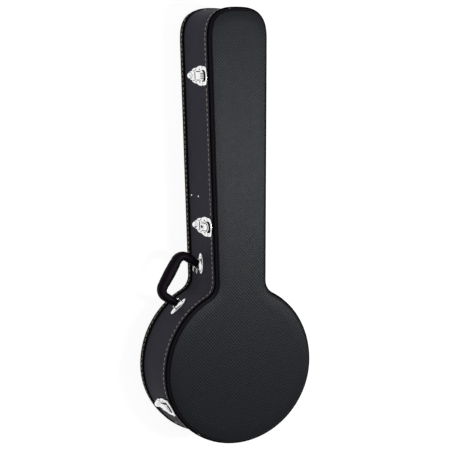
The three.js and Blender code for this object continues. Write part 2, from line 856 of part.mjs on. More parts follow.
function handleLoop(eye, plateFrame) {
  const toPlate = plateFrame.clone().invert().multiply(handleFrame);
  const direction = new THREE.Vector3(-1, 0, 0).transformDirection(toPlate);
  const stop = seat * 2 + handlePlateThick + loopWireRadius * Math.abs(direction.y);
  const legEnd = (y) => {
    const p = new THREE.Vector3(0, y, 0).applyMatrix4(toPlate);
    return (p.x - stop) / -direction.x;
  };
  const y0 = eye - loopHalfWidth;
  const y1 = eye + loopHalfWidth;
  const path = new THREE.CurvePath();
  const v = (x, y) => new THREE.Vector3(x, y, 0);
  path.add(new THREE.LineCurve3(v(-legEnd(y0), y0), v(-loopBend, y0)));
  path.add(new THREE.QuadraticBezierCurve3(v(-loopBend, y0), v(0, y0), v(0, y0 + loopBend)));
  path.add(new THREE.LineCurve3(v(0, y0 + loopBend), v(0, y1 - loopBend)));
  path.add(new THREE.QuadraticBezierCurve3(v(0, y1 - loopBend), v(0, y1), v(-loopBend, y1)));
  path.add(new THREE.LineCurve3(v(-loopBend, y1), v(-legEnd(y1), y1)));
  const wire = new THREE.Shape().absarc(0, 0, loopWireRadius, 0, Math.PI * 2);
  return new THREE.ExtrudeGeometry(wire, { steps: 22, extrudePath: path, curveSegments: 4 });
}

// Rings of the grip from one eye, round both bends, to the other
function handleGrip() {
  const straight = handleReach - handleBendRadius;
  const half = eyeHalf;
  const quarter = [];
  const add = (x, y, angle, r, h) => quarter.push({
    at: new THREE.Vector2(x, y),
    across: new THREE.Vector2(Math.sin(angle), Math.cos(angle)),
    half: r,
    halfHeight: h,
  });
  const endShares = [[-0.95, 0.35], [-0.7, 0.75], [0, 1]];
  for (const [back, size] of endShares) {
    add(back * handleEndRadius, half, 0, size * handleEndRadius, size * handleEndRadius);
  }
  add(straight / 2, half, 0, handleArmRadius * armShare, handleArmRadius * armShare);
  for (let i = 0; i <= 4; i += 1) {
    const a = Math.PI / 2 * i / 4;
    const r = handleArmRadius + (handleGripHalf - handleArmRadius) * gripSwellShare * i / 4;
    const h = handleArmRadius + (handleGripHalfHeight - handleArmRadius) * i / 4;
    add(
      straight + handleBendRadius * Math.sin(a),
      half - handleBendRadius * (1 - Math.cos(a)),
      a,
      r,
      h,
    );
  }
  add(handleReach, (half - handleBendRadius) / 2, Math.PI / 2, handleGripHalf, handleGripHalfHeight);
  const other = quarter.map(({ at, across, half: r, halfHeight }) => ({
    at: new THREE.Vector2(at.x, -at.y),
    across: new THREE.Vector2(-across.x, across.y).negate(),
    half: r,
    halfHeight,
  })).reverse();
  const body = swept([...quarter, ...other], 12);
  const holes = [-1, 1].map((side) => (
    bar(loopWireRadius + eyeSlack, handleEndRadius * 4, 10, 0, side * half, 0)
  ));
  return cut(body, holes);
}

function handlePieces() {
  return [
    named('handle_plate_upper', domedPlate(), nickel(), upperPlateFrame),
    named('handle_plate_lower', domedPlate(), nickel(), lowerPlateFrame),
    named('handle_loop_upper', handleLoop(-eyeHalf, upperPlateFrame), nickel(), handleFrame),
    named('handle_loop_lower', handleLoop(eyeHalf, lowerPlateFrame), nickel(), handleFrame),
    named('handle_grip', handleGrip(), leather(), handleFrame),
  ];
}

function wallRivets() {
  const places = [wallRivetLow, wallRivetHigh].map((up) => ({ out: 0, along: 0, up }));
  const right = wallFrame(neckRight(cradleReach), cradleReach, 0, 0);
  return rivets('cradle_rivet', [neckWallFrame(cradleReach, 0), right], places);
}

// Hinges: their axis is parallel to the line that touches both the pot and the headstock end
function archSupport(angle) {
  const q = endArchPower / (endArchPower - 1);
  const reach = (archHalf * Math.cos(angle)) ** q + (endArchLength * Math.sin(angle)) ** q;
  return archMiddle * Math.cos(angle) + archStart * Math.sin(angle) + reach ** (1 / q);
}

function hingeLineAngle() {
  let low = 0;
  let high = Math.PI / 4;
  for (let i = 0; i < 40; i += 1) {
    const middle = (low + high) / 2;
    if (archSupport(middle) < potRadius) {
      low = middle;
    } else {
      high = middle;
    }
  }
  return low;
}

const hingeAngle = hingeLineAngle();
const hingeNormal = new THREE.Vector2(Math.cos(hingeAngle), Math.sin(hingeAngle));

function touchPoint(first, last) {
  let best = outline[first];
  for (const p of outline.slice(first, last)) {
    if (p.dot(hingeNormal) > best.dot(hingeNormal)) {
      best = p;
    }
  }
  return best;
}

const potTouch = hingeNormal.clone().multiplyScalar(potRadius);
const endTouch = touchPoint(potSteps, potSteps + shoulderSteps + archSteps);
const hingeFrames = [potTouch, endTouch].map((p) => {
  const out = potRadius + hingeOut;
  const along = new THREE.Vector2(-hingeNormal.y, hingeNormal.x);
  const centre = hingeNormal.clone().multiplyScalar(out).addScaledVector(along, p.dot(along));
  return wallFrame(centre.x, centre.y, hingeAngle, seamZ);
});

// Points of the wall between two places along the hinge line, in the hinge's own frame
function wallStretch(frame, from, to, out) {
  const back = frame.clone().invert();
  const ring = outlineAt(out).map((p) => new THREE.Vector3(p.x, p.y, seamZ).applyMatrix4(back));
  const near = ring.filter((p) => p.x > -potRadius / 2);
  near.sort((a, b) => a.y - b.y);
  const crossing = (y) => {
    const i = near.findIndex((p) => p.y > y);
    const [a, b] = [near[i - 1], near[i]];
    return new THREE.Vector2(a.x + (b.x - a.x) * (y - a.y) / (b.y - a.y), y);
  };
  const inside = near.filter((p) => p.y > from && p.y < to).map((p) => new THREE.Vector2(p.x, p.y));
  return [crossing(from), ...inside, crossing(to)];
}

function wrapped(frame, from, to, innerOut, outerEdge, foot, top) {
  const inner = wallStretch(frame, from, to, innerOut);
  const outer = typeof outerEdge === 'number'
    ? wallStretch(frame, from, to, outerEdge)
    : [new THREE.Vector2(outerEdge.x, from), new THREE.Vector2(outerEdge.x, to)];
  return plate([...inner, ...outer.reverse()], top - foot).translate(0, 0, foot);
}

function hingeLeaf(frame, width, direction, spans) {
  const [low, high] = direction < 0 ? [-shellLeafHeight, -leafStart] : [leafStart, lidLeafHeight];
  const sheet = wrapped(frame, -width / 2, width / 2, seat, seat + leafThick, low, high);
  const [webLow, webHigh] = direction < 0
    ? [-leafStart - webHeight, -leafThick]
    : [leafThick, leafStart + webHeight];
  const webs = spans.map(([from, to]) => (
    wrapped(frame, from, to, seat + webInset, new THREE.Vector2(-leafThick, 0), webLow, webHigh)
  ));
  const knuckles = spans.map(([from, to]) => bar(knuckleRadius, to - from, 12, 0, (from + to) / 2, 0));
  const bore = bar(hingePinRadius + hingeBoreSlack, width * 2, 12, 0, 0, 0);
  return cut(join([sheet, ...webs, ...knuckles]), [bore]);
}

function hingePieces() {
  const names = ['hinge_pot', 'hinge_neck'];
  const pieces = [];
  hingeFrames.forEach((frame, i) => {
    const width = hingeWidths[i];
    const third = width / 6;
    const shellSpans = [[-third, third]];
    const lidSpans = [[-width / 2, -third - knuckleGap], [third + knuckleGap, width / 2]];
    pieces.push(named(`${names[i]}_shell_leaf`, hingeLeaf(frame, width, -1, shellSpans), nickel(), frame));
    pieces.push(named(`${names[i]}_lid_leaf`, hingeLeaf(frame, width, 1, lidSpans), nickel(), frame));
    pieces.push(named(`${names[i]}_pin`, bar(hingePinRadius, width, 10, 0, 0, 0), nickel(), frame));
  });
  return pieces;
}

const banjoCase = new THREE.Group();
banjoCase.name = 'banjo_case';
banjoCase.add(
  ...shellPieces(),
  ...wallRivets(),
  ...lidPieces(),
  ...compartmentPieces(),
  ...latchPieces(),
  ...handlePieces(),
  ...hingePieces(),
);

export default banjoCase;
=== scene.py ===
import math

import bmesh
import bpy
from mathutils import Matrix, Vector


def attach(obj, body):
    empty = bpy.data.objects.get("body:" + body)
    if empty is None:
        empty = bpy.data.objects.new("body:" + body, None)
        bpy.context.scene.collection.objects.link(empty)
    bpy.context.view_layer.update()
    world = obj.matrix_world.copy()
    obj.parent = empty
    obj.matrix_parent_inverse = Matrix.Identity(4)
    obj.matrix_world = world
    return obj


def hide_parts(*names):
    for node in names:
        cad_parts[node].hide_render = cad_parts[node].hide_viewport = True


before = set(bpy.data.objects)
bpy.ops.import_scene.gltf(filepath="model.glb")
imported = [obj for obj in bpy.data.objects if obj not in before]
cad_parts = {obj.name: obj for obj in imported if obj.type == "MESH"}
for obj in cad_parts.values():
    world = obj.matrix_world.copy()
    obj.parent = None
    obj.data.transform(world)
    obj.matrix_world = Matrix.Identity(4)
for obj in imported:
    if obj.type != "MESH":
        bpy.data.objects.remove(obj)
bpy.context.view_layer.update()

# Sizes are in millimetres, as in the part's source, and each finished piece is brought to metres.
MM = 0.001

POT_RADIUS = 197.0
FOOT_REACH = 184.0
CASE_REACH = 863.0
SHOULDER_RADIUS = 40.0
ARCH_LENGTH = 76.0
ARCH_POWER = 2.8
NECK_RIGHT = (70.5, 74.2)
NECK_LEFT = (63.5, 83.8)
NECK_START = POT_RADIUS + SHOULDER_RADIUS / 4
ARCH_START = CASE_REACH - ARCH_LENGTH

SEAM = 116.0
LID_BEAD = 150.0
LID_TOP = 156.0
BACK_BEAD = 26.0
WALL = 5.0
LINER_OUTER = -5.6
LINER_INNER = -7.8
LINING = -8.1
SHELL_FLOOR = 8.0
PAD_FLOOR = 11.3
LID_LINING_FOOT = 144.7
LID_LINER_OUTER = -5.3
FLOOR_PLUSH_TOP = 11.0
STITCH_FROM_BEAD = 12.4
BACK_STITCH_FROM_BEAD = 10.0
STITCH_PITCH = 11.8

POT_POINTS = 40
SHOULDER_POINTS = 16
NECK_POINTS = 24
ARCH_POINTS = 64
FOOT_POINTS = 72
MERGE = 0.0005
SHARP_ANGLE = 30


# Plan of the case

def turns(whole, steps):
    """Even steps from zero towards a whole turn or arc, whose end is left out."""
    return [whole * i / steps for i in range(steps)]


def neck_side(widths, y):
    at_pot, at_end = widths
    return at_pot + (at_end - at_pot) * (y - NECK_START) / (CASE_REACH - NECK_START)


def side_of_case(widths):
    """Points from the pot's widest place over the shoulder to where the end's arch starts, on +X."""
    slope = (widths[1] - widths[0]) / (CASE_REACH - NECK_START)
    along = Vector((slope, 1)).normalized()
    out = Vector((along.y, -along.x))
    start = Vector((neck_side(widths, 0), 0)) + out * SHOULDER_RADIUS
    reach = POT_RADIUS + SHOULDER_RADIUS
    b = start.dot(along)
    centre = start + along * (math.sqrt(b * b - start.length_squared + reach * reach) - b)
    pot_end = math.atan2(centre.y, centre.x)
    points = [Vector((math.cos(a), math.sin(a))) * POT_RADIUS for a in turns(pot_end, POT_POINTS)]
    first, last = pot_end + math.pi, math.atan2(out.y, out.x) + math.pi
    for a in turns(last - first, SHOULDER_POINTS) + [last - first]:
        points.append(centre + Vector((math.cos(first + a), math.sin(first + a))) * SHOULDER_RADIUS)
    low = points[-1].y
    for i in range(1, NECK_POINTS + 1):
        y = low + (ARCH_START - low) * i / NECK_POINTS
        points.append(Vector((neck_side(widths, y), y)))
    return points


def plan_of_case():
    half = (neck_side(NECK_RIGHT, ARCH_START) + neck_side(NECK_LEFT, ARCH_START)) / 2
    middle = neck_side(NECK_RIGHT, ARCH_START) - half
    arch = []
    for a in turns(math.pi, ARCH_POINTS)[1:]:
        c = math.cos(a)
        arch.append(Vector((
            middle + math.copysign(half * abs(c) ** (2 / ARCH_POWER), c),
            ARCH_START + ARCH_LENGTH * math.sin(a) ** (2 / ARCH_POWER),
        )))
    left = [Vector((-p.x, p.y)) for p in reversed(side_of_case(NECK_LEFT)[1:])]
    foot = [
        Vector((POT_RADIUS * math.cos(a), FOOT_REACH * math.sin(a)))
        for a in (math.pi * (1 + i / FOOT_POINTS) for i in range(FOOT_POINTS))
    ]
    return side_of_case(NECK_RIGHT) + arch + left + foot


PLAN = plan_of_case()


def offset_plan(distance):
    """The plan's points moved outwards by a distance."""
    moved = []
    for before, here, after in zip(PLAN[-1:] + PLAN[:-1], PLAN, PLAN[1:] + PLAN[:1]):
        a = (here - before).normalized()
        b = (after - here).normalized()
        across = Vector((a.y + b.y, -a.x - b.x))
        moved.append(here + across * (distance / (1 + a.dot(b))))
    return moved


def plan_ring(distance, height):
    return [Vector((p.x, p.y, height)) for p in offset_plan(distance)]


# Shaping

def loft(rings, closed=False):
    """A skin through rings of equal count; open ends get a flat face."""
    bm = bmesh.new()
    place = bm.verts.layers.int.new("place")
    verts = [bm.verts.new(p) for p in rings[0]]
    for i, v in enumerate(verts):
        v[place] = i
    edges = [bm.edges.new((verts[i - 1], verts[i])) for i in range(len(verts))]
    if not closed:
        bmesh.ops.contextual_create(bm, geom=edges)
    for ring in rings[1:] + (rings[:1] if closed else []):
        made = bmesh.ops.extrude_edge_only(bm, edges=edges)["geom"]
        for v in made:
            if isinstance(v, bmesh.types.BMVert):
                v.co = ring[v[place]]
        edges = [e for e in made if isinstance(e, bmesh.types.BMEdge) and e.is_boundary]
    if closed:
        bmesh.ops.remove_doubles(bm, verts=bm.verts, dist=MERGE)
    else:
        bmesh.ops.contextual_create(bm, geom=edges)
    bmesh.ops.recalc_face_normals(bm, faces=bm.faces)
    return bm


def around_case(rows, closed=False):
    """A band or board that follows the case's plan; each row is (offset, height)."""
    return loft([plan_ring(*row) for row in rows], closed)


def gather(*parts):
    """One body of shapes from several."""
    whole = bmesh.new()
    for part in parts:
        carrier = bpy.data.meshes.new("carrier")
        part.to_mesh(carrier)
        part.free()
        whole.from_mesh(carrier)
        bpy.data.meshes.remove(carrier)
    return whole


def soften(bm, width, segments=2):
    """Rounds the edges where faces meet at more than the sharp angle."""
    limit = math.radians(SHARP_ANGLE)
    edges = [e for e in bm.edges if e.is_manifold and e.calc_face_angle(0) > limit]
    bmesh.ops.bevel(
        bm, geom=edges, offset=width, affect="EDGES", segments=segments,
        profile=0.5, material=-1, clamp_overlap=True,
    )
    return bm


def slab(outline, low, high, holes=()):
    """A flat plate drawn in (along, up) and standing from low to high outwards."""
    bm = bmesh.new()
    edges = []
    for loop in (outline, *holes):
        verts = [bm.verts.new((low, y, z)) for y, z in loop]
        edges += [bm.edges.new((verts[i - 1], verts[i])) for i in range(len(verts))]
    if holes:
        bmesh.ops.triangle_fill(bm, edges=edges, use_beauty=True)
    else:
        bmesh.ops.contextual_create(bm, geom=edges)
    raised = bmesh.ops.extrude_face_region(bm, geom=bm.faces[:], use_keep_orig=True)["geom"]
    verts = [v for v in raised if isinstance(v, bmesh.types.BMVert)]
    bmesh.ops.translate(bm, verts=verts, vec=(high - low, 0, 0))
    bmesh.ops.recalc_face_normals(bm, faces=bm.faces)
    return bm


def board(outline, low, high):
    """A flat plate drawn in plan and standing from one height to another."""
    bm = slab([(p[0], p[1]) for p in outline], low, high)
    turn = Matrix(((0, 1, 0, 0), (0, 0, 1, 0), (1, 0, 0, 0), (0, 0, 0, 1)))
    bmesh.ops.transform(bm, matrix=turn, verts=bm.verts)
    return bm


def oblong(left, right, low, high):
    """The corners of an upright rectangle, as an outline for slab."""
    return [(left, low), (right, low), (right, high), (left, high)]


def arc(radius, angles, along, up):
    """Points (along, up) at the given angles round a centre."""
    return [(along + radius * math.cos(a), up + radius * math.sin(a)) for a in angles]


def circle(radius, points, along=0.0, up=0.0):
    return arc(radius, turns(math.tau, points), along, up)


def turned(profile, steps=24, at=(0, 0, 0)):
    """A round body about the outward axis; the profile is (radius, out)."""
    bm = bmesh.new()
    verts = [bm.verts.new((out, radius, 0)) for radius, out in profile]
    edges = [bm.edges.new(pair) for pair in zip(verts, verts[1:])]
    bmesh.ops.spin(
        bm, geom=verts + edges, cent=(0, 0, 0), axis=(1, 0, 0),
        angle=math.tau, steps=steps, use_merge=True,
    )
    bmesh.ops.remove_doubles(bm, verts=bm.verts, dist=MERGE)
    bmesh.ops.recalc_face_normals(bm, faces=bm.faces)
    bmesh.ops.translate(bm, verts=bm.verts, vec=at)
    return bm


def rod(radius, half, at, round_over=0.25, bore=0.0):
    """A round bar or tube along the wall, with its ends rounded."""
    r = round_over
    profile = [(bore, -half), (radius - r, -half), (radius, -half + r)]
    profile += [(radius, half - r), (radius - r, half), (bore, half)]
    if bore:
        profile.append(profile[0])
    bm = turned(profile)
    bmesh.ops.rotate(bm, cent=(0, 0, 0), matrix=Matrix.Rotation(math.pi / 2, 3, "Z"), verts=bm.verts)
    bmesh.ops.translate(bm, verts=bm.verts, vec=at)
    return bm


def box(low, high, edge):
    bm = bmesh.new()
    size = [b - a for a, b in zip(low, high)]
    middle = [(a + b) / 2 for a, b in zip(low, high)]
    bmesh.ops.create_cube(bm, size=1)
    bmesh.ops.scale(bm, vec=size, verts=bm.verts)
    bmesh.ops.translate(bm, verts=bm.verts, vec=middle)
    return soften(bm, edge)


def dome(radius, height, at):
    """A rivet's head."""
    side = [(radius * math.cos(a), height * math.sin(a)) for a in turns(math.pi / 2, 6)]
    return turned([(0, 0)] + side + [(0, height)], 20, at)


def smooth_line(points, steps):
    """A curve through points, with a number of steps from each to the next."""
    last = len(points) - 1
    made = []
    for i in range(last):
        near = [points[min(max(i + k, 0), last)] for k in (-1, 0, 1, 2)]
        for t in (k / steps for k in range(steps)):
            made.append(tuple(
                0.5 * (
                    2 * b + (c - a) * t
                    + (2 * a - 5 * b + 4 * c - d) * t * t + (3 * b - a - 3 * c + d) * t ** 3
                )
                for a, b, c, d in zip(*near)
            ))
    return made + [tuple(points[-1])]


def both_sides(half):
    """A closed outline from the points of its +along half, first to last."""
    return list(half) + [(-y, z) for y, z in reversed(half) if abs(y) > 0.001]


def bent_wire(points, radius, sides):
    """A round wire along points in a level plane."""
    rings = []
    for i, p in enumerate(points):
        before, after = points[max(i - 1, 0)], points[min(i + 1, len(points) - 1)]
        way = (Vector(after) - Vector(before)).normalized()
        across = Vector((-way.y, way.x, 0))
        rings.append([
            Vector(p) + across * (radius * math.cos(a)) + Vector((0, 0, radius * math.sin(a)))
            for a in turns(math.tau, sides)
        ])
    return loft(rings)


def wall_frame(x, y, angle, height):
    """Local X points out of the wall, Y runs along it and Z is up."""
    return Matrix.Translation((x, y, height)) @ Matrix.Rotation(angle, 4, "Z")


def neck_frame(y, height):
    slope = (NECK_LEFT[1] - NECK_LEFT[0]) / (CASE_REACH - NECK_START)
    return wall_frame(-neck_side(NECK_LEFT, y), y, math.pi + math.atan(slope), height)


def foot_frame(degrees, height):
    a = math.radians(degrees)
    x, y = -POT_RADIUS * math.cos(a), -FOOT_REACH * math.sin(a)
    return wall_frame(x, y, math.atan2(y / FOOT_REACH ** 2, x / POT_RADIUS ** 2), height)


def pot_frame(degrees, height):
    a = math.pi - math.radians(degrees)
    return wall_frame(POT_RADIUS * math.cos(a), POT_RADIUS * math.sin(a), a, height)


# Shader signals and finishes

class Signal:
    """A value that varies over a surface; sums and products of signals add their own maths nodes."""

    def __init__(self, nodes, socket):
        self.nodes = nodes
        self.socket = socket

    def maths(self, operation, other):
        return self.nodes.out("Math", {0: self, 1: other}, operation=operation)

    def __add__(self, other):
        return self.maths("ADD", other)

    def __mul__(self, other):
        return self.maths("MULTIPLY", other)

    __radd__ = __add__


class Nodes:
    """The shader nodes of a material or of the world."""

    def __init__(self, owner):
        owner.use_nodes = True
        self.tree = owner.node_tree

    def node(self, kind, inputs, **settings):
        made = self.tree.nodes.new("ShaderNode" + kind)
        for key, value in settings.items():
            setattr(made, key, value)
        for key, value in inputs.items():
            self.feed(made.inputs[key], value)
        return made

    def out(self, kind, inputs, output=0, **settings):
        return Signal(self, self.node(kind, inputs, **settings).outputs[output])

    def feed(self, socket, value):
        if isinstance(value, Signal):
            self.tree.links.new(value.socket, socket)
        else:
            socket.default_value = value

    def looked_at(self):
        """1 where the camera or a reflection looks, and 0 where light is gathered."""
        camera, polish = (self.out("LightPath", {}, f"Is {kind} Ray") for kind in ("Camera", "Glossy"))
        return camera.maths("MAXIMUM", polish)

    def two_ways(self, gathered, seen, output):
        """Ends the tree in one shader for gathered light and another for what is looked at."""
        mixed = self.out("MixShader", {0: self.looked_at(), 1: gathered, 2: seen})
        self.node(output, {0: mixed})


class Finish(Nodes):
    """A material named for what it finishes, with its varying signals."""

    def __init__(self, name, slot, even):
        self.slot = slot
        self.material = bpy.data.materials.new(name)
        super().__init__(self.material)
        self.shader = self.tree.nodes["Principled BSDF"]
        for socket, value in even.items():
            self.shader.inputs[socket].default_value = value
        self.place = self.out("TexCoord", {}, "Object")

    def varies(self, socket, value):
        self.feed(self.shader.inputs[socket], value)

    def noise(self, scale, detail=3.0, stretch=None):
        place = self.place
        if stretch:
            place = self.out("Mapping", {"Vector": place, "Scale": stretch})
        return self.out("TexNoise", {"Vector": place, "Scale": scale, "Detail": detail})

    def cells(self, scale):
        """The distance to the nearest edge of irregular cells."""
        inputs = {"Vector": self.place, "Scale": scale}
        return self.out("TexVoronoi", inputs, "Distance", feature="DISTANCE_TO_EDGE")

    def ribs(self, period, turn):
        """Slightly wavy ribs across the surface at an even period in millimetres."""
        place = self.out("Mapping", {"Vector": self.place, "Rotation": (0, 0, math.radians(turn))})
        scale = math.tau / (20 * period * MM)
        waves = {"Vector": place, "Scale": scale, "Distortion": 1.4, "Detail Scale": 1.5}
        return self.out("TexWave", waves, 1)

    def between(self, factor, first, second):
        """A colour between two, by a signal."""
        return self.out("Mix", {0: factor, 6: (*first, 1), 7: (*second, 1)}, 2, data_type="RGBA")

    def bumps(self, *layers):
        """Relief from layers of (height signal, depth in millimetres)."""
        normal = None
        for height, depth in layers:
            inputs = {"Height": height, "Distance": depth * MM, "Strength": 1.0}
            if normal:
                inputs["Normal"] = normal
            normal = self.out("Bump", inputs)
        self.varies("Normal", normal)
        return self


WEAVE_PERIOD = 6.0
WEAVE_TURN = 43.0
PATCH_SCALE = 22.0
RUBBED_SCALE = 60.0
RUBBED_ROUGHNESS = 0.1


def grained(name, slot, dark, pale, shine, roughness, grain, relief, weave=0.0, tint=(1, 1, 1)):
    """Embossed vinyl: grain cells, fine pores, and a crossed weave where it has one."""
    made = Finish(name, slot, {"Specular IOR Level": shine, "Specular Tint": (*tint, 1)})
    patches = made.noise(PATCH_SCALE, 2.0)
    mottle = made.noise(grain * 0.8, 2.0)
    colour = patches * 0.3 + mottle * 0.7
    pores = made.noise(grain * 3.0)
    layers = [(pores, relief * 0.4), (made.cells(grain), relief * 2.5), (mottle, relief * 0.6)]
    rough = roughness - RUBBED_ROUGHNESS / 2 + made.noise(RUBBED_SCALE) * RUBBED_ROUGHNESS
    if weave:
        crossed = made.ribs(WEAVE_PERIOD, WEAVE_TURN) * made.ribs(WEAVE_PERIOD, -WEAVE_TURN)
        layers.append((crossed, weave))
        colour = colour * 0.1 + crossed * 0.9
    made.varies("Base Color", made.between(colour, dark, pale))
    made.varies("Roughness", rough)
    return made.bumps(*layers)


WALL_VINYL = grained(
    "wall_vinyl", "covering_vinyl", dark=(0.0292, 0.0283, 0.0384), pale=(0.0505, 0.0488, 0.0642),
    shine=0.05, roughness=0.6, grain=500.0, relief=0.1, tint=(0.94, 0.93, 1.0),
)
PANEL_VINYL = grained(
    "panel_vinyl", "panel_vinyl", dark=(0.0027, 0.0031, 0.0041), pale=(0.019, 0.021, 0.0255),
    shine=0.1, roughness=0.335, grain=500.0, relief=0.05, weave=0.22, tint=(0.9, 0.95, 1.0),
)
BINDING = grained(
    "binding_vinyl", "binding_vinyl", dark=(0.0005, 0.0004, 0.0007), pale=(0.0013, 0.001, 0.0017),
    shine=0.015, roughness=0.5, grain=1300.0, relief=0.04,
)
RIM_VINYL = grained(
    "rim_vinyl", "binding_vinyl", dark=(0.0062, 0.005, 0.0078), pale=(0.0098, 0.0081, 0.0118),
    shine=0.06, roughness=0.3, grain=1300.0, relief=0.04,
)
BACK_VINYL = grained(
    "back_vinyl", "panel_vinyl", dark=(0.0075, 0.0085, 0.0105), pale=(0.0155, 0.0165, 0.0195),
    shine=0.14, roughness=0.45, grain=500.0, relief=0.05, weave=0.3, tint=(0.9, 0.95, 1.0),
)
HANDLE_LEATHER = grained(
    "handle_leather", "handle_leather", dark=(0.002, 0.0011, 0.0026), pale=(0.004, 0.0022, 0.0052),
    shine=0.06, roughness=0.42, grain=800.0, relief=0.1, tint=(1.0, 0.85, 1.0),
)


def make_thread():
    """Tan thread, worn darker in places."""
    made = Finish("stitch_thread", "handle_leather", {"Roughness": 0.85, "Specular IOR Level": 0.25})
    wear = made.noise(35.0, 2.0)
    made.varies("Base Color", made.between(wear, (0.52, 0.42, 0.34), (0.85, 0.7, 0.58)))
    twist = made.noise(900.0, 1.0, (1.0, 1.0, 3.0))
    return made.bumps((twist, 0.2))


def make_dark_thread():
    made = Finish("dark_thread", "handle_leather", {"Roughness": 0.8})
    made.varies("Base Color", made.between(made.noise(300.0), (0.022, 0.017, 0.024), (0.045, 0.036, 0.048)))
    return made.bumps((made.noise(1500.0, 1.0), 0.15))


def make_nickel(name, tone, roughness):
    """Bright plate with faint handling marks and a soft unevenness under the polish."""
    made = Finish(name, "nickel_plate", {"Metallic": 1.0})
    marks = made.noise(260.0, 4.0, (1.0, 0.35, 1.0))
    made.varies("Base Color", made.between(marks, tone, [c * 0.9 for c in tone]))
    made.varies("Roughness", roughness + marks * 0.08)
    return made.bumps((made.noise(180.0, 1.0), 0.05), (marks, 0.01))


def make_plush(name, slot, dark, pale):
    """Short pile that lies in patches."""
    made = Finish(name, slot, {
        "Roughness": 0.95, "Specular IOR Level": 0.15,
        "Sheen Weight": 0.6, "Sheen Roughness": 0.4, "Sheen Tint": (0.75, 0.75, 0.85, 1),
    })
    lay = made.noise(28.0, 3.0)
    pile = made.noise(1700.0, 2.0)
    made.varies("Base Color", made.between(lay * 0.6 + pile * 0.4, dark, pale))
    return made.bumps((lay, 0.5), (pile, 0.5))


THREAD = make_thread()
DARK_THREAD = make_dark_thread()
NICKEL = make_nickel("bright_nickel", (0.95, 0.95, 0.955), 0.16)
# Near-black nickel for painted shade: in recesses of the latches, on the hook under the lever and round the
# handle's wire holes.
NICKEL_PAINTED_SHADE = make_nickel("painted_shade_nickel", (0.05, 0.05, 0.053), 0.35)
NICKEL_SATIN = make_nickel("satin_nickel", (0.97, 0.97, 0.975), 0.24)
PLUSH = make_plush("plush", "plush_lining", (0.010, 0.010, 0.013), (0.030, 0.030, 0.037))
PAD_PLUSH = make_plush("pad_plush", "plush_foam", (0.010, 0.010, 0.013), (0.030, 0.030, 0.037))


def in_scene(name, data):
    made = bpy.data.objects.new(name, data)
    bpy.context.scene.collection.objects.link(made)
    return made


def piece(name, bm, finish, body, replaced=(), at=None, crease=35):
    """Makes an object of a finished shape, in metres, on the body that carries it."""
    if at is not None:
        bmesh.ops.transform(bm, matrix=at, verts=bm.verts)
    bmesh.ops.scale(bm, vec=(MM, MM, MM), verts=bm.verts)
    bmesh.ops.recalc_face_normals(bm, faces=bm.faces)
    limit = math.radians(crease)
    for face in bm.faces:
        face.smooth = True
    for edge in bm.edges:
        edge.smooth = edge.calc_face_angle(0) < limit
    mesh = bpy.data.meshes.new(name)
    bm.to_mesh(mesh)
    bm.free()
    mesh.materials.append(finish.material)
    made = in_scene(name, mesh)
    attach(made, body)
    even = made.modifiers.new("flat_faces_first", "WEIGHTED_NORMAL")
    even.keep_sharp = True
    if replaced:
        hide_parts(*replaced)
    return made


# Shell and lid

SEAM_ROUND = 0.3
SEAM_GAP = 0.15
BACK_ROUND = 6.0
RIM_ROUND = 5.0
RIM_RISE = 3.2
RIM_INNER = -6.8
PANEL_RISE = 3.6
PANEL_EDGE = -6.5
BEAD_RADIUS = 2.35
BEAD_OUT = 0.95
BEAD_ANGLES = [math.radians(-78 + 170 * i / 12) for i in range(13)]
FLANGE_HEIGHT = 15.0
FLANGE_HEAD = 3.6
FLANGE_IN, FLANGE_OUT = 0.3, 1.4
STITCH_HALVES = (4.3, 0.8, 1.05)
STITCH_OUT = 1.3
STITCH_LEAN = 0.1
LATCH_ROOM = 24.0
LATCH_REACH = 60.0
LIP = 7.0
LIP_ROUND = 0.8


def quarter(radius):
    """(inwards, up) along a quarter round, from its side to its top."""
    bend = turns(math.pi / 2, 8) + [math.pi / 2]
    return [(radius * (1 - math.cos(a)), radius * math.sin(a)) for a in bend]


def wall_band(foot, top):
    """A wall with its upper edges rounded."""
    r = SEAM_ROUND
    return around_case([
        (0, foot), (0, top - r), (-r * 0.3, top - r * 0.3), (-r, top),
        (-WALL + r, top), (-WALL, top - r), (-WALL, foot),
    ], closed=True)


def piping(bead_height, name, body, replaced, flange_finish):
    """A round bead and the flange below it, with a rolled lower edge."""
    foot, head = bead_height - FLANGE_HEIGHT, bead_height - FLANGE_HEAD
    flange = [(FLANGE_IN, foot + 0.3), (0.55, foot), (1.05, foot)]
    flange += [(FLANGE_OUT, foot + 0.4), (FLANGE_OUT, foot + 1.3), (1.2, foot + 2.2)]
    flange += [(1.12, bead_height - STITCH_FROM_BEAD + 1.2), (1.3, bead_height - 6)]
    flange += [(1.2, head - 0.4), (0.8, head), (FLANGE_IN, head)]
    piece(f"{name}_flange", around_case(flange, closed=True), flange_finish, body, crease=50)
    bead = [(FLANGE_IN, head + 0.2), (0.8, head + 0.2), (1.1, head + 0.6)]
    bead += arc(BEAD_RADIUS, BEAD_ANGLES, BEAD_OUT, bead_height) + [(FLANGE_IN, bead_height + BEAD_RADIUS)]
    piece(name, around_case(bead, closed=True), BINDING, body, (replaced,), crease=50)


def add_stitch(bm, at, axes, turn_about):
    """A small spindle with the given half axes."""
    place = Matrix.Translation(at) @ axes @ Matrix.Rotation(math.pi / 2, 4, turn_about)
    bmesh.ops.create_uvsphere(bm, u_segments=6, v_segments=5, radius=1, matrix=place)


def covered_by(latch, at):
    return abs((latch.inverted() @ at).y) < LATCH_ROOM and (at - latch.translation).length < LATCH_REACH


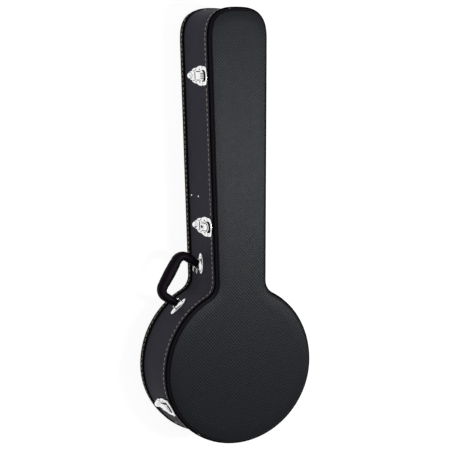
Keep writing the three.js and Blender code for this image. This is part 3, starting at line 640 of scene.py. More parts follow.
def stitches(name, height, body, skipped=()):
    """Lock stitches at an even pitch along the flange, except beside the given latches."""
    ring = plan_ring(STITCH_OUT, height)
    bm = bmesh.new()
    travelled, due = 0.0, STITCH_PITCH / 2
    for a, b in zip(ring, ring[1:] + ring[:1]):
        run = (b - a).length
        way = (b - a).normalized()
        while due <= travelled + run:
            at = a + way * (due - travelled)
            due += STITCH_PITCH
            if any(covered_by(latch, at) for latch in skipped):
                continue
            out = Vector((way.y, -way.x, 0))
            up = Vector((0, 0, 1)) + way * STITCH_LEAN
            axes = [axis * half for axis, half in zip((way, out, up), STITCH_HALVES)]
            add_stitch(bm, at, Matrix(axes).transposed().to_4x4(), "Y")
        travelled += run
    piece(name, bm, THREAD, body)


LATCH_FROM_END = 158.0
LATCH_FROM_POT = 148.0
POT_LATCH_ANGLE = 26.4
POT_LATCH_LEAN = 5.0
LATCHES = [
    neck_frame(CASE_REACH - LATCH_FROM_END, SEAM),
    neck_frame(POT_RADIUS + LATCH_FROM_POT, SEAM),
    foot_frame(POT_LATCH_ANGLE, SEAM) @ Matrix.Rotation(math.radians(POT_LATCH_LEAN), 4, "X"),
]


def make_shell():
    rows = [(-inwards, BACK_ROUND - up) for inwards, up in reversed(quarter(BACK_ROUND))]
    rows.append((0, SHELL_FLOOR - 0.15))
    piece("back_board", around_case(rows), BACK_VINYL, "shell", ("back_panel",))
    piece("shell_side", wall_band(SHELL_FLOOR, SEAM), WALL_VINYL, "shell", ("shell_wall",))
    piping(BACK_BEAD, "back_bead", "shell", "back_piping", BINDING)
    stitches("back_stitches", BACK_BEAD - BACK_STITCH_FROM_BEAD, "shell")
    foot, lip = SHELL_FLOOR + 0.3, SEAM + LIP
    piece("shell_lining_band", around_case([
        (LINER_OUTER, foot), (LINER_OUTER, lip - LIP_ROUND), (LINER_OUTER - 0.5, lip),
        (LINER_INNER + 0.5, lip), (LINER_INNER, lip - LIP_ROUND), (LINER_INNER, foot),
    ], closed=True), PLUSH, "shell", ("shell_liner",))
    top = FLOOR_PLUSH_TOP
    plush = [(LINING, foot), (LINING, top - 0.8), (LINING - 1.2, top - 0.1), (LINING - 4, top)]
    piece("floor_plush", around_case(plush), PLUSH, "shell", ("floor_lining",))


def make_lid():
    # The wall is drawn upside down and flipped, so that its rounded edge is the one at the seam.
    side = wall_band(-(LID_BEAD - 0.3), -(SEAM + SEAM_GAP))
    piece("lid_side", side, WALL_VINYL, "lid", ("lid_wall",), at=Matrix.Diagonal((1, 1, -1, 1)))
    crest = LID_TOP + RIM_RISE
    rim = [(0, LID_BEAD)] + [(-i, LID_BEAD + u) for i, u in quarter(RIM_ROUND)]
    rim += [(-RIM_ROUND - 0.4, LID_BEAD + RIM_ROUND + 0.1), (RIM_INNER + 1.2, crest - 1.0)]
    rim += [(RIM_INNER + 0.8, crest - 0.2), (RIM_INNER, crest), (RIM_INNER, LID_BEAD)]
    piece("lid_rim", around_case(rim, closed=True), RIM_VINYL, "lid", ("lid_edge",))
    top = LID_TOP + PANEL_RISE
    panel = [(PANEL_EDGE, LID_BEAD), (PANEL_EDGE, top - 0.7), (PANEL_EDGE - 0.3, top - 0.2)]
    panel += [(PANEL_EDGE - 1.1, top), (-20, top + 0.8), (-34, top + 1.2)]
    piece("lid_top", around_case(panel), PANEL_VINYL, "lid", ("lid_panel",), crease=50)
    piping(LID_BEAD, "lid_bead", "lid", "lid_piping", WALL_VINYL)
    stitches("lid_stitches", LID_BEAD - STITCH_FROM_BEAD, "lid", LATCHES)
    head, foot = LID_BEAD - 0.7, LID_LINING_FOOT
    plush = [(LINING, head), (LINING, foot + 2), (LINING - 1, foot + 0.6)]
    plush += [(LINING - 4, foot), (LINING - 20, foot)]
    piece("lid_plush", around_case(plush), PLUSH, "lid", ("lid_lining",))
    low = SEAM + LIP + 0.8
    piece("lid_lining_band", around_case([
        (LID_LINER_OUTER, head), (LID_LINER_OUTER, low + 0.4), (LID_LINER_OUTER - 0.5, low),
        (LINER_INNER + 0.5, low), (LINER_INNER, low + 0.5), (LINER_INNER, head),
    ], closed=True), PLUSH, "lid", ("lid_liner",))


# Inside

PAD_INNER = 172.9
PAD_TOP = 112.0
PAD_SIDE = 30.0
PAD_ROLL = 6.0
PAD_GAP = 0.3
PAD_END_SHARE = 0.84
PAD_STATIONS = 120
TUCK_STATIONS = 3
PAD_TURNS = turns(math.pi / 2, 5) + [math.pi / 2]


def make_pot_pad():
    """A C of foam round the pot, its top edges rolled over and its ends tucked in."""
    outer_side, outer_foot = POT_RADIUS + LINING - PAD_GAP, FOOT_REACH + LINING - PAD_GAP
    start = math.asin(PAD_END_SHARE)
    rings = []
    for i in range(PAD_STATIONS + 1):
        share = i / PAD_STATIONS
        a = start - (math.pi + start * 2) * share
        way = Vector((math.cos(a), math.sin(a), 0))
        outer = Vector((outer_side * way.x, (outer_side if way.y > 0 else outer_foot) * way.y, 0))
        inside = way * PAD_INNER
        end = min(share, 1 - share) * PAD_STATIONS / TUCK_STATIONS
        tuck = math.sqrt(max(0.0, 1 - (1 - min(end, 1)) ** 2)) * 0.8 + 0.2
        thick = (outer - inside).length
        roll = min(PAD_ROLL, thick * 0.45)
        top = PAD_FLOOR + (PAD_TOP - PAD_FLOOR) * (0.9 + 0.1 * tuck)
        ring = [(0, PAD_FLOOR), (0, top - PAD_SIDE)]
        edge = [
            (roll * (1 - math.cos(b)) / thick, top - PAD_ROLL + PAD_ROLL * math.sin(b)) for b in PAD_TURNS
        ]
        ring += edge + [(1 - inwards, up) for inwards, up in reversed(edge)]
        ring += [(1, top - PAD_SIDE), (1, PAD_FLOOR)]
        rings.append([inside.lerp(outer, 1 - (1 - s) * tuck) + Vector((0, 0, z)) for s, z in ring])
    made = piece("pot_padding", loft(rings), PAD_PLUSH, "shell", ("pot_pad",), crease=60)


CRADLE_Y = POT_RADIUS + LATCH_FROM_POT + 70
CRADLE_HALF = 6.0
CRADLE_TOP = 92.0
NOTCH_RADIUS = 28.0
NOTCH_UP = 90.0
LEDGE_TOP = 59.7
LEDGE_BACK = 12.0
BOARD_GAP = 1.1
COMPARTMENT_LENGTH = 74.0
COVER_LOW, COVER_HIGH = 60.0, 64.0
COVER_GAP = 0.5
END_WALL = 6.0
TAB_HALF = 8.0
TAB_CORNER = 2.0


def cross_board(y):
    """Where a board across the neck ends on the left and on the right."""
    return -neck_side(NECK_LEFT, y) - LINING + BOARD_GAP, neck_side(NECK_RIGHT, y) + LINING - BOARD_GAP


def make_cradle(left, right, middle):
    notch = arc(NOTCH_RADIUS, turns(-math.pi, 24) + [-math.pi], middle, NOTCH_UP)
    outline = [(left, PAD_FLOOR), (right, PAD_FLOOR), (right, CRADLE_TOP)]
    outline += [(middle + NOTCH_RADIUS, CRADLE_TOP)] + notch
    outline += [(middle - NOTCH_RADIUS, CRADLE_TOP), (left, CRADLE_TOP)]
    upright = soften(slab(outline, CRADLE_Y - CRADLE_HALF, CRADLE_Y + CRADLE_HALF), 2.4, 3)
    ledge = oblong(left, right, PAD_FLOOR, LEDGE_TOP)
    ledge = soften(slab(ledge, CRADLE_Y + CRADLE_HALF / 2, CRADLE_Y + LEDGE_BACK), 0.8)
    swap = Matrix(((0, 1, 0, 0), (1, 0, 0, 0), (0, 0, 1, 0), (0, 0, 0, 1)))
    made = piece("cradle_padding", gather(upright, ledge), PAD_PLUSH, "shell", ("neck_cradle",), at=swap)


def make_inside():
    make_pot_pad()
    left, right = cross_board(CRADLE_Y)
    middle = (left + right) / 2
    make_cradle(left, right, middle)
    front = CRADLE_Y + CRADLE_HALF + COVER_GAP
    back = front + COMPARTMENT_LENGTH
    end_left, end_right = cross_board(back)
    end = back + COVER_GAP
    end_wall = box((end_left, end, PAD_FLOOR), (end_right, end + END_WALL, COVER_HIGH), 0.8)
    piece("compartment_wall", end_wall, PLUSH, "shell", ("compartment_end_wall",))
    cover = box((left, front, COVER_LOW), (right, back, COVER_HIGH), 1.0)
    piece("compartment_flap", cover, PLUSH, "compartment_cover", ("compartment_cover",))
    inner = TAB_HALF - TAB_CORNER
    near, bent, far = front + 7, front + 7 + TAB_CORNER, front + 21
    tab = [(middle - TAB_HALF, far), (middle - TAB_HALF, bent), (middle - inner, near)]
    tab += [(middle + inner, near), (middle + TAB_HALF, bent), (middle + TAB_HALF, far)]
    tab = soften(board(tab, COVER_HIGH + 0.3, COVER_HIGH + 1.5), 0.35)
    piece("compartment_tab", tab, HANDLE_LEATHER, "compartment_cover", ("compartment_pull",))


# Latches

BASE_BACK, BASE_FACE = 0.3, 2.7
BASE_HALF = 23.4
BASE_TAIL = 64.0
BASE_SHARES = [
    (0, -1), (0.26, -0.97), (0.4, -0.89), (0.45, -0.79), (0.5, -0.735), (0.62, -0.715), (0.67, -0.66),
    (0.75, -0.56), (0.79, -0.4), (0.82, -0.33), (0.91, -0.27), (0.98, -0.15), (1, -0.04),
]
WELL = (-10.8, 10.8, -27, -5)
NOSE_HALVES = (10.8, 8.7, 9.0)
RAIL_ALONG = 12.1
LUG_ALONG = 10.6
# How far out the base's dark slabs of painted shade stand, and where the slab across the lever's root starts.
SHADE_PATCH_BACK, SHADE_PATCH_FACE = 2.6, 2.82
SHADE_ROOT, LOCK_SHADE_ROOT = -34.2, -36.6
RIVET_RADIUS = 2.2
PIN_OUT, PIN_UP = 4.8, -22.0
LEVER_BACK = 5.5
LEVER_FOOT = -18.6
LEVER_HALF = 9.2
LEVER_TIP = 20.0
HOOK_PIVOTS = (4.4, 7.6, 4.4)
HOOK_BACK = 3.3
HOOK_FOOT = -12.0
RIBS = (-8.2, -4.1, 0.0, 4.1, 8.2)
RIB_GAPS = (-6.15, -2.05, 2.05, 6.15)
LOCK_UP = -11.0
LOCK_MIDDLE = LEVER_TIP - 11.6
LOCK_POINTS = 36
KEY_UP = LOCK_UP - 1.6


def two_blocks(along, half, outs, ups, edge):
    """A block on each side of a latch's middle."""
    return [box((outs[0], y - half, ups[0]), (outs[1], y + half, ups[1]), edge) for y in (-along, along)]


def two_rivets(radius, height, out, along, up):
    """A rivet on each side of the middle of a latch or handle plate."""
    return gather(*[dome(radius, height, (out, y, up)) for y in (-along, along)])


def latch_base():
    half = smooth_line([(y * BASE_HALF, z * BASE_TAIL) for y, z in BASE_SHARES], 4)
    half += [(BASE_HALF, 2.4), (BASE_HALF - 0.5, 3.6), (BASE_HALF - 1.5, 4.0)]
    sheet = soften(slab(both_sides(half), BASE_BACK, BASE_FACE, [oblong(*WELL)]), 0.55)
    nose = bmesh.new()
    bmesh.ops.create_uvsphere(nose, u_segments=32, v_segments=20, radius=1)
    bmesh.ops.scale(nose, vec=NOSE_HALVES, verts=nose.verts)
    bmesh.ops.translate(nose, vec=(0, 0, -BASE_TAIL + 8.5), verts=nose.verts)
    bmesh.ops.bisect_plane(
        nose, geom=nose.verts[:] + nose.edges[:] + nose.faces[:],
        plane_co=(0.4, 0, 0), plane_no=(-1, 0, 0), clear_outer=True,
    )
    bmesh.ops.holes_fill(nose, edges=[e for e in nose.edges if e.is_boundary])
    rails = two_blocks(RAIL_ALONG, 1.0, (1.5, 4.4), (-26.5, -3.5), 0.45)
    lugs = two_blocks(LUG_ALONG, 1.0, (1.5, 7.0), (-25, -19), 0.5)
    return gather(sheet, nose, *rails, *lugs)


def shade_patch(along, half, low, high, face=SHADE_PATCH_FACE):
    return slab(oblong(along - half, along + half, low, high), SHADE_PATCH_BACK, face)


def latch_shade_patches(root):
    """Dark slabs that paint the shade of pressed recesses on the base: across the lever's root, beside each
    rail, and down from the root.
    """
    across = shade_patch(0, 9.4, root, root + 5.0)
    beside = [shade_patch(y, 1.2, low, low + 5.5) for y in (-14.9, 14.6) for low in (-30, -11.5)]
    down = [shade_patch(y, 0.8, -43, -26.8, SHADE_PATCH_FACE + 0.02) for y in (-11.3, 11.3)]
    return gather(across, *beside, *down)


def lever_hinge():
    """The rolled root of a lever and the narrow neck that carries its plate."""
    barrel = rod(1.8, LEVER_HALF, (PIN_OUT, 0, PIN_UP))
    neck = box((4.3, -LEVER_HALF + 0.4, PIN_UP + 1.5), (6.2, LEVER_HALF - 0.4, -13), 0.2)
    return [barrel, neck]


def hook_ears(pivot_half):
    return two_blocks(pivot_half + 1.0, 0.7, (3.3, 6.0), (-13.6, -10.4), 0.25)


def plain_lever():
    half = [(LEVER_HALF, LEVER_FOOT), (LEVER_HALF, 3.0)]
    half += smooth_line([(LEVER_HALF, 4.6), (9.8, 7.4), (11.0, 12.0), (10.7, 15.2)], 4)
    for y in (8.2, 4.1):
        z = LEVER_TIP - 0.6 - (y / 12) ** 2 * 3.0
        half += [(y + 1.7, z - 2.4), (y + 1.0, z), (y - 0.8, z + 0.2), (y - 1.5, z - 2.2)]
    half += [(1.6, 17.4), (0.9, 19.8), (0, LEVER_TIP)]
    sheet = soften(slab(both_sides(half), LEVER_BACK, 7.1), 0.4)
    hump = soften(slab(both_sides([(7.4, -16.2), (8.0, -15.0), (8.0, -3.6), (7.4, -2.4)]), 6.9, 7.8), 0.45)
    ribs = [box((6.9, y - 1.15, 1.4), (8.8, y + 1.15, 17.6 - abs(y) * 0.25), 0.8) for y in RIBS]
    return gather(sheet, hump, *ribs, *lever_hinge(), *hook_ears(HOOK_PIVOTS[0]))


def rib_gap_shade():
    """Dark slabs that paint the shade in the gaps between the ribs of a lever's tip."""
    return gather(*[slab(oblong(y - 0.85, y + 0.85, 3.5, 16.6), 7.1, 7.25) for y in RIB_GAPS])


def rounded_tab(half, foot, centre):
    """A tab with straight sides and a round end, as its +along half."""
    return [(half, foot)] + arc(half, turns(math.pi / 2, 14), 0.0, centre) + [(0, centre + half)]


def horseshoe(outer, inner):
    """A closed band between two lines, each given as its +along half."""
    line = outer + [(-y, z) for y, z in reversed(outer[:-1])] + [(-y, z) for y, z in inner]
    return line + list(reversed(inner[:-1]))


def lock_lever():
    hole = circle(7.3, LOCK_POINTS, up=LOCK_UP)
    outline = [(LEVER_HALF, LEVER_FOOT), (10.6, -17.6), (11.4, -15.6)] + rounded_tab(11.6, -14.0, LOCK_MIDDLE)
    sheet = soften(slab(both_sides(outline), LEVER_BACK, 6.7, [hole]), 0.3)
    border = [(10.9, -15.0)] + rounded_tab(11.3, -13.0, LOCK_MIDDLE)
    rim = horseshoe(border, rounded_tab(9.9, -15.0, LOCK_MIDDLE - 1.2))
    raised_rim = soften(slab(rim, 6.5, 7.9), 0.55)
    plateau = both_sides(rounded_tab(8.1, -18.2, LOCK_MIDDLE - 3.0))
    plateau = soften(slab(plateau, 6.5, 7.9, [hole]), 0.5)
    return gather(sheet, raised_rim, plateau, *lever_hinge(), *hook_ears(HOOK_PIVOTS[1]))


def lock_groove_shade():
    """A black slab that paints the shade in the hollow between the lock lever's border and its middle."""
    outer, inner = rounded_tab(9.8, -14.6, LOCK_MIDDLE - 1.2), rounded_tab(8.2, -14.6, LOCK_MIDDLE - 3.0)
    return slab(horseshoe(outer, inner), 6.6, 7.55)


def key_slot(grow=0.0):
    """A drop, round at one end and narrow at the other."""
    radius, half, head = 4.0 + grow, 2.4 + grow, LOCK_UP + 4.9 + grow
    angles = [math.radians(127 + 286 * i / 14) for i in range(15)]
    return [(half, head), (-half, head)] + arc(radius, angles, 0.0, KEY_UP)


def lock_cylinder():
    """A round plug with a key slot cut down into it."""
    plug = soften(slab(circle(7.0, LOCK_POINTS, up=LOCK_UP), 6.9, 8.7, [key_slot()]), 0.3)
    body = turned([(0, 5.35), (6.8, 5.35), (6.8, 6.95), (0, 6.95)], LOCK_POINTS, (0, 0, LOCK_UP))
    return gather(plug, body)


def latch_hook(pivot_half):
    half = [(4.4, HOOK_FOOT), (4.4, 23.6), (3.6, 25.8), (2.2, 26.8)]
    sheet = soften(slab(both_sides(half), HOOK_BACK, HOOK_BACK + 1.2), 0.3)
    return gather(sheet, rod(1.1, pivot_half, (HOOK_BACK + 0.6, 0, HOOK_FOOT)))


STRIKE_OUTER = [
    (21.4, 6.2), (22.3, 7.2), (22.4, 12.0), (21.9, 20.0), (21.3, 24.8), (19.2, 28.4), (10, 30.5), (0, 31),
]
STRIKE_INNER = [(13.6, 6.2), (13.6, 17.4), (11.7, 23.2), (6.8, 26.6), (0, 27.4)]
WINDOW_SIDE = [
    (5.2, 18.6), (9.6, 17.4), (11.6, 12.4), (11.6, 6.6), (13.4, 6.6), (13.4, 17.4), (11.5, 23.1),
    (6.7, 26.5), (5.2, 26.8),
]


def window_painted_shade(side):
    """A black strip that paints the shade in the strike's window beside the hook."""
    return slab([(side * y, z) for y, z in WINDOW_SIDE][::side], 1.7, 4.8)


def strike():
    outer = [STRIKE_OUTER[0]] + smooth_line(STRIKE_OUTER[1:], 5)
    inner = [STRIKE_INNER[0]] + smooth_line(STRIKE_INNER[1:], 5)
    sheet = soften(slab(horseshoe(outer, inner), 1.6, 3.3), 0.4)
    bow = horseshoe([p for p in outer if p[1] > 21], [p for p in inner if p[1] > 20])
    return gather(sheet, soften(slab(bow, 2.4, 5.9), 1.1, 3))


def make_latch(number, at):
    name = f"latch_{number}"
    locks = number == 2

    def add(part, shape, finish, body, *replaced):
        piece(f"{name}_{part}", shape, finish, body, replaced, at)

    add("plate", latch_base(), NICKEL, "shell", f"{name}_base")
    # Dark nickel slabs paint the shade in the base's recesses.
    add("plate_painted_shade", latch_shade_patches(LOCK_SHADE_ROOT if locks else SHADE_ROOT), NICKEL_PAINTED_SHADE, "shell")
    add("hinge_pin", rod(1.2, 11.5, (PIN_OUT, 0, PIN_UP)), NICKEL, "shell", f"{name}_pin")
    add("bow", strike(), NICKEL, "lid", f"{name}_strike")
    lever, arm_painted_shade = (lock_lever(), lock_groove_shade()) if locks else (plain_lever(), rib_gap_shade())
    add("arm", lever, NICKEL, f"{name}_lever", f"{name}_lever")
    # Painted shade on the lever: dark slabs between the ribs, or black in the lock's groove.
    add("arm_painted_shade", arm_painted_shade, BINDING if locks else NICKEL_PAINTED_SHADE, f"{name}_lever")
    # The hook is painted near-black for the shade it lies in under the lever.
    add("catch", latch_hook(HOOK_PIVOTS[number - 1]), NICKEL_PAINTED_SHADE, f"{name}_hook", f"{name}_hook")
    rivets = two_rivets(RIVET_RADIUS, 1.3, BASE_FACE, 18.7, -9.0)
    add("plate_rivets", rivets, NICKEL, "shell", f"base_rivet_{number}_1", f"base_rivet_{number}_2")
    rivets = two_rivets(RIVET_RADIUS, 1.3, 3.3, 18.0, 11.2)
    add("bow_rivets", rivets, NICKEL, "lid", f"strike_rivet_{number}_1", f"strike_rivet_{number}_2")
    # Black strips paint the shade in the strike's window beside the hook.
    add("window_painted_shade", gather(window_painted_shade(-1), window_painted_shade(1)), BINDING, "lid")


def make_latches():
    for number, at in enumerate(LATCHES, 1):
        make_latch(number, at)
    piece("lock_plug", lock_cylinder(), NICKEL, "lock", ("lock_cylinder",), LATCHES[1])
    # A black slab paints the shade deep in the key slot.
    piece("key_slot_painted_shade", slab(key_slot(0.2), 7.2, 8.6), BINDING, "lock", (), LATCHES[1])


# Handle

HANDLE_UP = 80.0
EYE_OUT = 15.0
PLATE_UPPER = neck_frame(POT_RADIUS + 57.5, HANDLE_UP)
PLATE_LOWER = pot_frame(49.6, HANDLE_UP)
PLATE_DROP = 3.5
PLATE_LONG, PLATE_SHORT = 25.5, 9.8
PLATE_BACK, PLATE_THICK = 0.3, 3.4
PLATE_ROWS = ((1, 0), (1, 0.45), (0.985, 0.66), (0.96, 0.8), (0.92, 0.9), (0.84, 0.97), (0.72, 1.0))
EYE_UPPER = PLATE_UPPER @ Vector((EYE_OUT, 0, 0))
EYE_LOWER = PLATE_LOWER @ Vector((EYE_OUT, 0, 0))
EYE_HALF = (EYE_UPPER - EYE_LOWER).length / 2
EYE_LINE = EYE_UPPER - EYE_LOWER
HANDLE_MIDDLE = (EYE_UPPER + EYE_LOWER) / 2
HANDLE_FRAME = wall_frame(
    HANDLE_MIDDLE.x, HANDLE_MIDDLE.y, math.atan2(EYE_LINE.y, EYE_LINE.x) + math.pi / 2, HANDLE_UP
)
HANDLE_REACH = 50.0
BEND = 20.0
GRIP_END_ROWS = ((-5.2, 0.3), (-5.1, 0.62), (-4.5, 0.84), (-2.9, 0.97), (0, 1.0))
GRIP_END, GRIP_BEND, GRIP_WIDE, GRIP_HIGH = 9.6, 10.8, 13.2, 12.0
GRIP_SIDES = 28
GRIP_SQUARENESS = 0.9
SEAM_STITCHES = 13
SEAM_SPREAD = 0.86
WIRE_RADIUS = 1.3
LOOP_HALF = 11.5
LOOP_CORNER = 3.2
# How far out the dark discs of painted shade round the wire holes sit.
HOLE_SHADE_OUT = 3.62


def handle_stations():
    """Places along the handle: (point, outward direction, half width, half height)."""
    first_half = [((back, EYE_HALF), 0.0, GRIP_END * size, GRIP_END * size) for back, size in GRIP_END_ROWS]
    straight = HANDLE_REACH - BEND
    for i in range(1, 9):
        s = i / 8
        swell = GRIP_END + 1.2 * math.sin(math.pi / 2 * min(1, s * 1.15))
        first_half.append(((straight * s, EYE_HALF), 0.0, swell, swell))
    for i in range(1, 13):
        s = i / 12
        a = math.pi / 2 * s
        at = (straight + BEND * math.sin(a), EYE_HALF - BEND * (1 - math.cos(a)))
        first_half.append((at, a, GRIP_BEND + 2.4 * s ** 1.5, GRIP_BEND + 1.2 * s))
    run = EYE_HALF - BEND
    for i in range(1, 11):
        s = i / 10
        seam = 1 - 0.075 * math.exp(-((s - 0.1) / 0.035) ** 2)
        at = (HANDLE_REACH, run * (1 - s))
        first_half.append((at, math.pi / 2, (GRIP_WIDE + 1.4 * s) * seam, GRIP_HIGH * seam))
    stations = []
    for (x, y), a, width, height in first_half:
        stations.append((Vector((x, y, 0)), Vector((math.sin(a), math.cos(a), 0)), width, height))
    for at, way, width, height in reversed(stations[:-1]):
        stations.append((Vector((at.x, -at.y, 0)), Vector((way.x, -way.y, 0)), width, height))
    return stations


def handle_ring(at, way, width, height):
    ring = []
    for a in turns(math.tau, GRIP_SIDES):
        c, s = math.cos(a), math.sin(a)
        across = width * math.copysign(abs(c) ** GRIP_SQUARENESS, c)
        up = height * math.copysign(abs(s) ** GRIP_SQUARENESS, s)
        ring.append(at + way * across + Vector((0, 0, up)))
    return ring


def make_grip():
    stations = handle_stations()
    half = len(stations) // 2
    grip = loft([handle_ring(*s) for s in stations])
    welt = []
    for at, way, width, _ in stations[half - 9:half + 10]:
        seat = at + way * (width - 0.7)
        welt.append([
            seat + way * (1.1 * max(0, math.sin(b))) + Vector((0, 0, 1.4 * math.cos(b)))
            for b in (math.pi * (k / 8) for k in range(9))
        ] + [seat - way * 1.0])
    cover = gather(grip, loft(welt))
    piece("handle_cover", cover, HANDLE_LEATHER, "handle", ("handle_grip",), HANDLE_FRAME, crease=60)
    thread = bmesh.new()
    reach = EYE_HALF - BEND
    for side in (-1, 1):
        for i in range(SEAM_STITCHES):
            y = -reach * SEAM_SPREAD + 2 * reach * SEAM_SPREAD * i / (SEAM_STITCHES - 1)
            spot = Vector((HANDLE_REACH + 12.35 + 1.3 * (1 - abs(y) / reach), y, side * 4.2))
            add_stitch(thread, spot, Matrix.Diagonal((0.3, 1.5, 0.3, 1)), "X")
    piece("handle_seam_thread", thread, DARK_THREAD, "handle", (), HANDLE_FRAME)


def handle_plate():
    rings = []
    for size, up in PLATE_ROWS:
        inset = (1 - size) * PLATE_LONG
        out = PLATE_BACK + up * PLATE_THICK
        rings.append([
            Vector((out, (PLATE_LONG - inset) * math.cos(a), (PLATE_SHORT - inset) * math.sin(a)))
            for a in turns(math.tau, 64)
        ])
    return gather(loft(rings), two_rivets(2.6, 1.5, 3.1, 17.5, 0))


def handle_loop(eye, plate):
    """A wire that leaves the plate, goes round the grip's end and comes back."""
    to_plate = plate.inverted() @ HANDLE_FRAME
    way = to_plate.to_3x3() @ Vector((-1, 0, 0))

    def leg(y):
        return ((to_plate @ Vector((0, y, 0))).x - PLATE_THICK - WIRE_RADIUS * abs(way.y)) / -way.x

    low, high, corner = eye - LOOP_HALF, eye + LOOP_HALF, LOOP_CORNER
    bend = turns(math.pi / 2, 6) + [math.pi / 2]
    path = [(-leg(low), low, 0), (-corner, low, 0)]
    path += [(-corner + corner * math.sin(a), low + corner - corner * math.cos(a), 0) for a in bend[1:]]
    path += [(-corner + corner * math.cos(a), high - corner + corner * math.sin(a), 0) for a in bend]
    path += [(-leg(high), high, 0)]
    return bent_wire(path, WIRE_RADIUS, 12)


def wire_hole_shade(eye, plate):
    """Dark discs that paint the shade round the two holes through which a wire enters its plate."""
    to_plate = plate.inverted() @ HANDLE_FRAME
    way = (to_plate.to_3x3() @ Vector((-1, 0, 0))).normalized()
    shade_discs = []
    for side in (-1, 1):
        start = to_plate @ Vector((0, eye + side * LOOP_HALF, 0))
        at = start + way * ((start.x - 3.75) / -way.x)
        shade_discs.append(turned([(0, 0), (2.5, 0), (2.5, 0.14), (0, 0.14)], 20, (HOLE_SHADE_OUT, at.y, at.z + 0.5)))
    return gather(*shade_discs)


def small_key():
    """A flat key hanging from a thin ring; both are drawn down from the wire."""
    ring = loft([
        [
            Vector((0, 1.0, 0)) + Vector((0, math.cos(a), math.sin(a))) * (2.2 + 0.4 * math.cos(b))
            + Vector((0.4 * math.sin(b), 0, 0))
            for b in turns(math.tau, 8)
        ] for a in turns(math.tau, 24)
    ], closed=True)
    head, hole = circle(2.8, 28, 5.4), circle(0.8, 14, 3.7)
    blade = [(7.8, -0.9), (11.4, -0.9), (11.4, 0.9), (10.6, 0.2), (10.0, 0.9), (9.2, 0.3), (7.8, 0.9)]
    key = gather(soften(slab(head, -0.6, 0.6, [hole]), 0.25), slab(blade, -0.5, 0.5))
    bmesh.ops.rotate(key, matrix=Matrix.Rotation(math.radians(62), 3, "Y"), verts=key.verts)
    return gather(ring, key)


def make_keys():
    """Two small keys hung on the handle's upper wire loop."""
    upright = PLATE_UPPER.to_3x3().to_4x4()
    hung = []
    for along_leg, up in ((0.6, -1.2), (-9.2, 0.0)):
        leg = HANDLE_FRAME @ Vector((along_leg, LOOP_HALF + 0.5 - EYE_HALF, up))
        key = small_key()
        bmesh.ops.transform(key, matrix=Matrix.Translation(leg) @ upright, verts=key.verts)
        hung.append(key)
    piece("spare_keys", gather(*hung), NICKEL, "shell")


def make_handle():
    make_grip()
    for name, plate, eye in (("upper", PLATE_UPPER, -EYE_HALF), ("lower", PLATE_LOWER, EYE_HALF)):
        seat = plate @ Matrix.Translation((0, PLATE_DROP if name == "upper" else 0, 0))
        piece(f"handle_mount_{name}", handle_plate(), NICKEL_SATIN, "shell", (f"handle_plate_{name}",), seat)
        loop = handle_loop(eye, plate)
        piece(f"handle_wire_{name}", loop, NICKEL, "shell", (f"handle_loop_{name}",), HANDLE_FRAME)
        # Dark discs paint the shade where each wire enters its plate.
        piece(f"handle_hole_shade_{name}", wire_hole_shade(eye, plate), NICKEL_PAINTED_SHADE, "shell", (), plate)
    make_keys()


# Hinges and wall rivets

HINGE_OUT = 5.6
HINGE_WIDTHS = (60.0, 42.0)
KNUCKLE_RADIUS = 3.5
KNUCKLE_BORE = 1.95
KNUCKLE_GAP = 0.5
ROD_RADIUS = 1.6
LEAF_IN, LEAF_OUT = 0.3, 1.6
WEB_IN, WEB_OUT = 0.9, -1.8
SCREW_INSET = 7.0
# Heights from the rod: a leaf's lower and upper edge, those of its webs, and its screws.
SHELL_LEAF = (-26.0, -2.0, -8.0, -1.3, -16.0)
LID_LEAF = (2.0, 15.5, 1.3, 8.0, 11.6)


def hinge_frames():
    """Both hinges lie on the line that touches the pot and the case's far end."""
    low, high = 0.0, math.pi / 4
    for _ in range(50):
        angle = (low + high) / 2
        way = Vector((math.cos(angle), math.sin(angle)))
        end = max(p.dot(way) for p in PLAN if p.y > POT_RADIUS)
        if end < POT_RADIUS:
            low = angle
        else:
            high = angle
    way = Vector((math.cos(low), math.sin(low)))
    along = Vector((-way.y, way.x))
    end = max((p for p in PLAN if p.y > POT_RADIUS), key=lambda p: p.dot(way))
    frames = []
    for touch in (way * POT_RADIUS, end):
        centre = way * (POT_RADIUS + HINGE_OUT) + along * touch.dot(along)
        frames.append(wall_frame(centre.x, centre.y, low, SEAM))
    return frames


def wall_stretch(at, start, end, distance):
    """Points of the wall beside a hinge, in the hinge's own plan."""
    back = at.inverted()
    near = [back @ Vector((p.x, p.y, SEAM)) for p in offset_plan(distance)]
    near = sorted((p for p in near if p.x > -POT_RADIUS / 2), key=lambda p: p.y)

    def crossing(y):
        i = next(k for k, p in enumerate(near) if p.y > y)
        a, b = near[i - 1], near[i]
        return (a.x + (b.x - a.x) * (y - a.y) / (b.y - a.y), y)

    inside = [(p.x, p.y) for p in near if start + 0.4 < p.y < end - 0.4]
    return [crossing(start)] + inside + [crossing(end)]


def hinge_leaf(at, width, heights, spans):
    low, high, web_low, web_high, screws_up = heights
    inner = wall_stretch(at, -width / 2, width / 2, LEAF_IN)
    outer = wall_stretch(at, -width / 2, width / 2, LEAF_OUT)
    parts = [soften(board(inner + outer[::-1], low, high), 0.35)]
    for start, end in spans:
        web = wall_stretch(at, start, end, WEB_IN) + [(WEB_OUT, end), (WEB_OUT, start)]
        parts.append(soften(board(web, web_low, web_high), 0.3))
        middle = (0, (start + end) / 2, 0)
        parts.append(rod(KNUCKLE_RADIUS, (end - start) / 2, middle, 0.5, bore=KNUCKLE_BORE))
    for y in (-width / 2 + SCREW_INSET, width / 2 - SCREW_INSET):
        spot = wall_stretch(at, y, y + 2, LEAF_OUT)[0]
        parts.append(dome(2.4, 1.2, (spot[0] - 0.1, y, screws_up)))
    return gather(*parts)


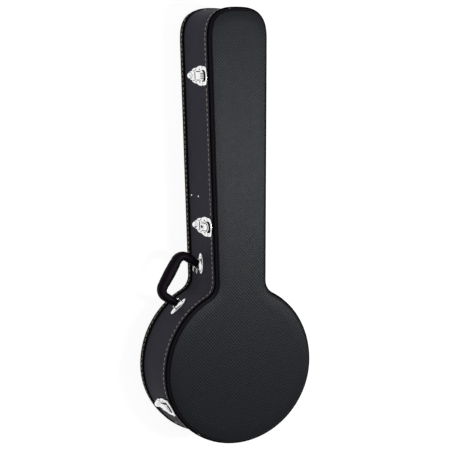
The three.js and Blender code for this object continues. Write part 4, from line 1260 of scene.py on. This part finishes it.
def make_hinges():
    for name, at, width in zip(("pot", "neck"), hinge_frames(), HINGE_WIDTHS):
        half, third = width / 2, width / 6
        lid_spans = [(-half, -third - KNUCKLE_GAP), (third + KNUCKLE_GAP, half)]
        fixed = hinge_leaf(at, width, SHELL_LEAF, [(-third, third)])
        piece(f"{name}_hinge_fixed", fixed, NICKEL, "shell", (f"hinge_{name}_shell_leaf",), at)
        moving = hinge_leaf(at, width, LID_LEAF, lid_spans)
        piece(f"{name}_hinge_moving", moving, NICKEL, "lid", (f"hinge_{name}_lid_leaf",), at)
        through = rod(ROD_RADIUS, half, (0, 0, 0))
        piece(f"{name}_hinge_rod", through, NICKEL, "shell", (f"hinge_{name}_pin",), at)


def make_wall_rivets():
    right = wall_frame(neck_side(NECK_RIGHT, CRADLE_Y), CRADLE_Y, 0, 0)
    for side, at in enumerate((neck_frame(CRADLE_Y, 0), right), 1):
        for number, up in enumerate((40.0, 76.0), 1):
            head = dome(RIVET_RADIUS, 1.2, (0.3, 0, up))
            replaced = (f"cradle_rivet_{side}_{number}",)
            piece(f"wall_rivet_{side}_{number}", head, NICKEL, "shell", replaced, at)


# Floor, light and camera

FLOOR_HALF = 14
PAPER_GREY = 0.35
PAPER_GLOW = 0.88
ROOM_STRENGTH = 0.25
CAMERA_PLACE = (-1.6178, 0.7663, 3.0638)
CAMERA_RIGHT = (0.8785, -0.0034, 0.4777)
CAMERA_BACK = (-0.4736, 0.1250, 0.8718)
SENSOR = 36
FOCAL_PIXELS, PICTURE_PIXELS = 1401, 452


def make_floor():
    bm = bmesh.new()
    bmesh.ops.create_grid(bm, x_segments=1, y_segments=1, size=FLOOR_HALF)
    mesh = bpy.data.meshes.new("floor")
    bm.to_mesh(mesh)
    bm.free()
    in_scene("floor", mesh)
    paper = bpy.data.materials.new("white_paper")
    nodes = Nodes(paper)
    nodes.tree.nodes.clear()
    lit = nodes.out("BsdfDiffuse", {"Color": (PAPER_GREY, PAPER_GREY, PAPER_GREY, 1)})
    glow = nodes.out("Emission", {"Strength": PAPER_GLOW})
    both = nodes.out("AddShader", {0: lit, 1: glow})
    nodes.two_ways(lit, both, "OutputMaterial")
    mesh.materials.append(paper)


def make_world():
    world = bpy.data.worlds.new("studio")
    bpy.context.scene.world = world
    nodes = Nodes(world)
    nodes.tree.nodes.clear()
    room = nodes.out("Background", {"Strength": ROOM_STRENGTH})
    plain = nodes.out("Background", {"Strength": 1.0})
    nodes.two_ways(room, plain, "OutputWorld")


def soft_light(name, at, target, size, power, in_polish=True):
    data = bpy.data.lights.new(name, "AREA")
    data.shape = "RECTANGLE"
    data.size, data.size_y = size
    data.energy = power
    light = in_scene(name, data)
    light.visible_glossy = in_polish
    light.location = at
    light.rotation_euler = (Vector(target) - Vector(at)).to_track_quat("-Z", "Y").to_euler()


def make_camera():
    data = bpy.data.cameras.new("camera")
    data.sensor_width = SENSOR
    data.lens = SENSOR * FOCAL_PIXELS / PICTURE_PIXELS
    data.clip_end = 60
    camera = in_scene("camera", data)
    right = Vector(CAMERA_RIGHT).normalized()
    back = Vector(CAMERA_BACK).normalized()
    up = back.cross(right).normalized()
    back = right.cross(up)
    turn = Matrix((right, up, back)).transposed()
    camera.matrix_world = Matrix.Translation(CAMERA_PLACE) @ turn.to_4x4()
    bpy.context.scene.camera = camera


bpy.context.scene.view_settings.view_transform = "Standard"
make_shell()
make_lid()
make_inside()
make_latches()
make_handle()
make_hinges()
make_wall_rivets()
make_floor()
make_world()
make_camera()
soft_light("overhead", (1.56, 0.25, 3.0), (0, 0.4, 0), (0.45, 1.9), 62)
soft_light("left_fill", (-2.3, 1.1, 1.1), (0, 0.45, 0.1), (1.6, 1.6), 19, in_polish=False)
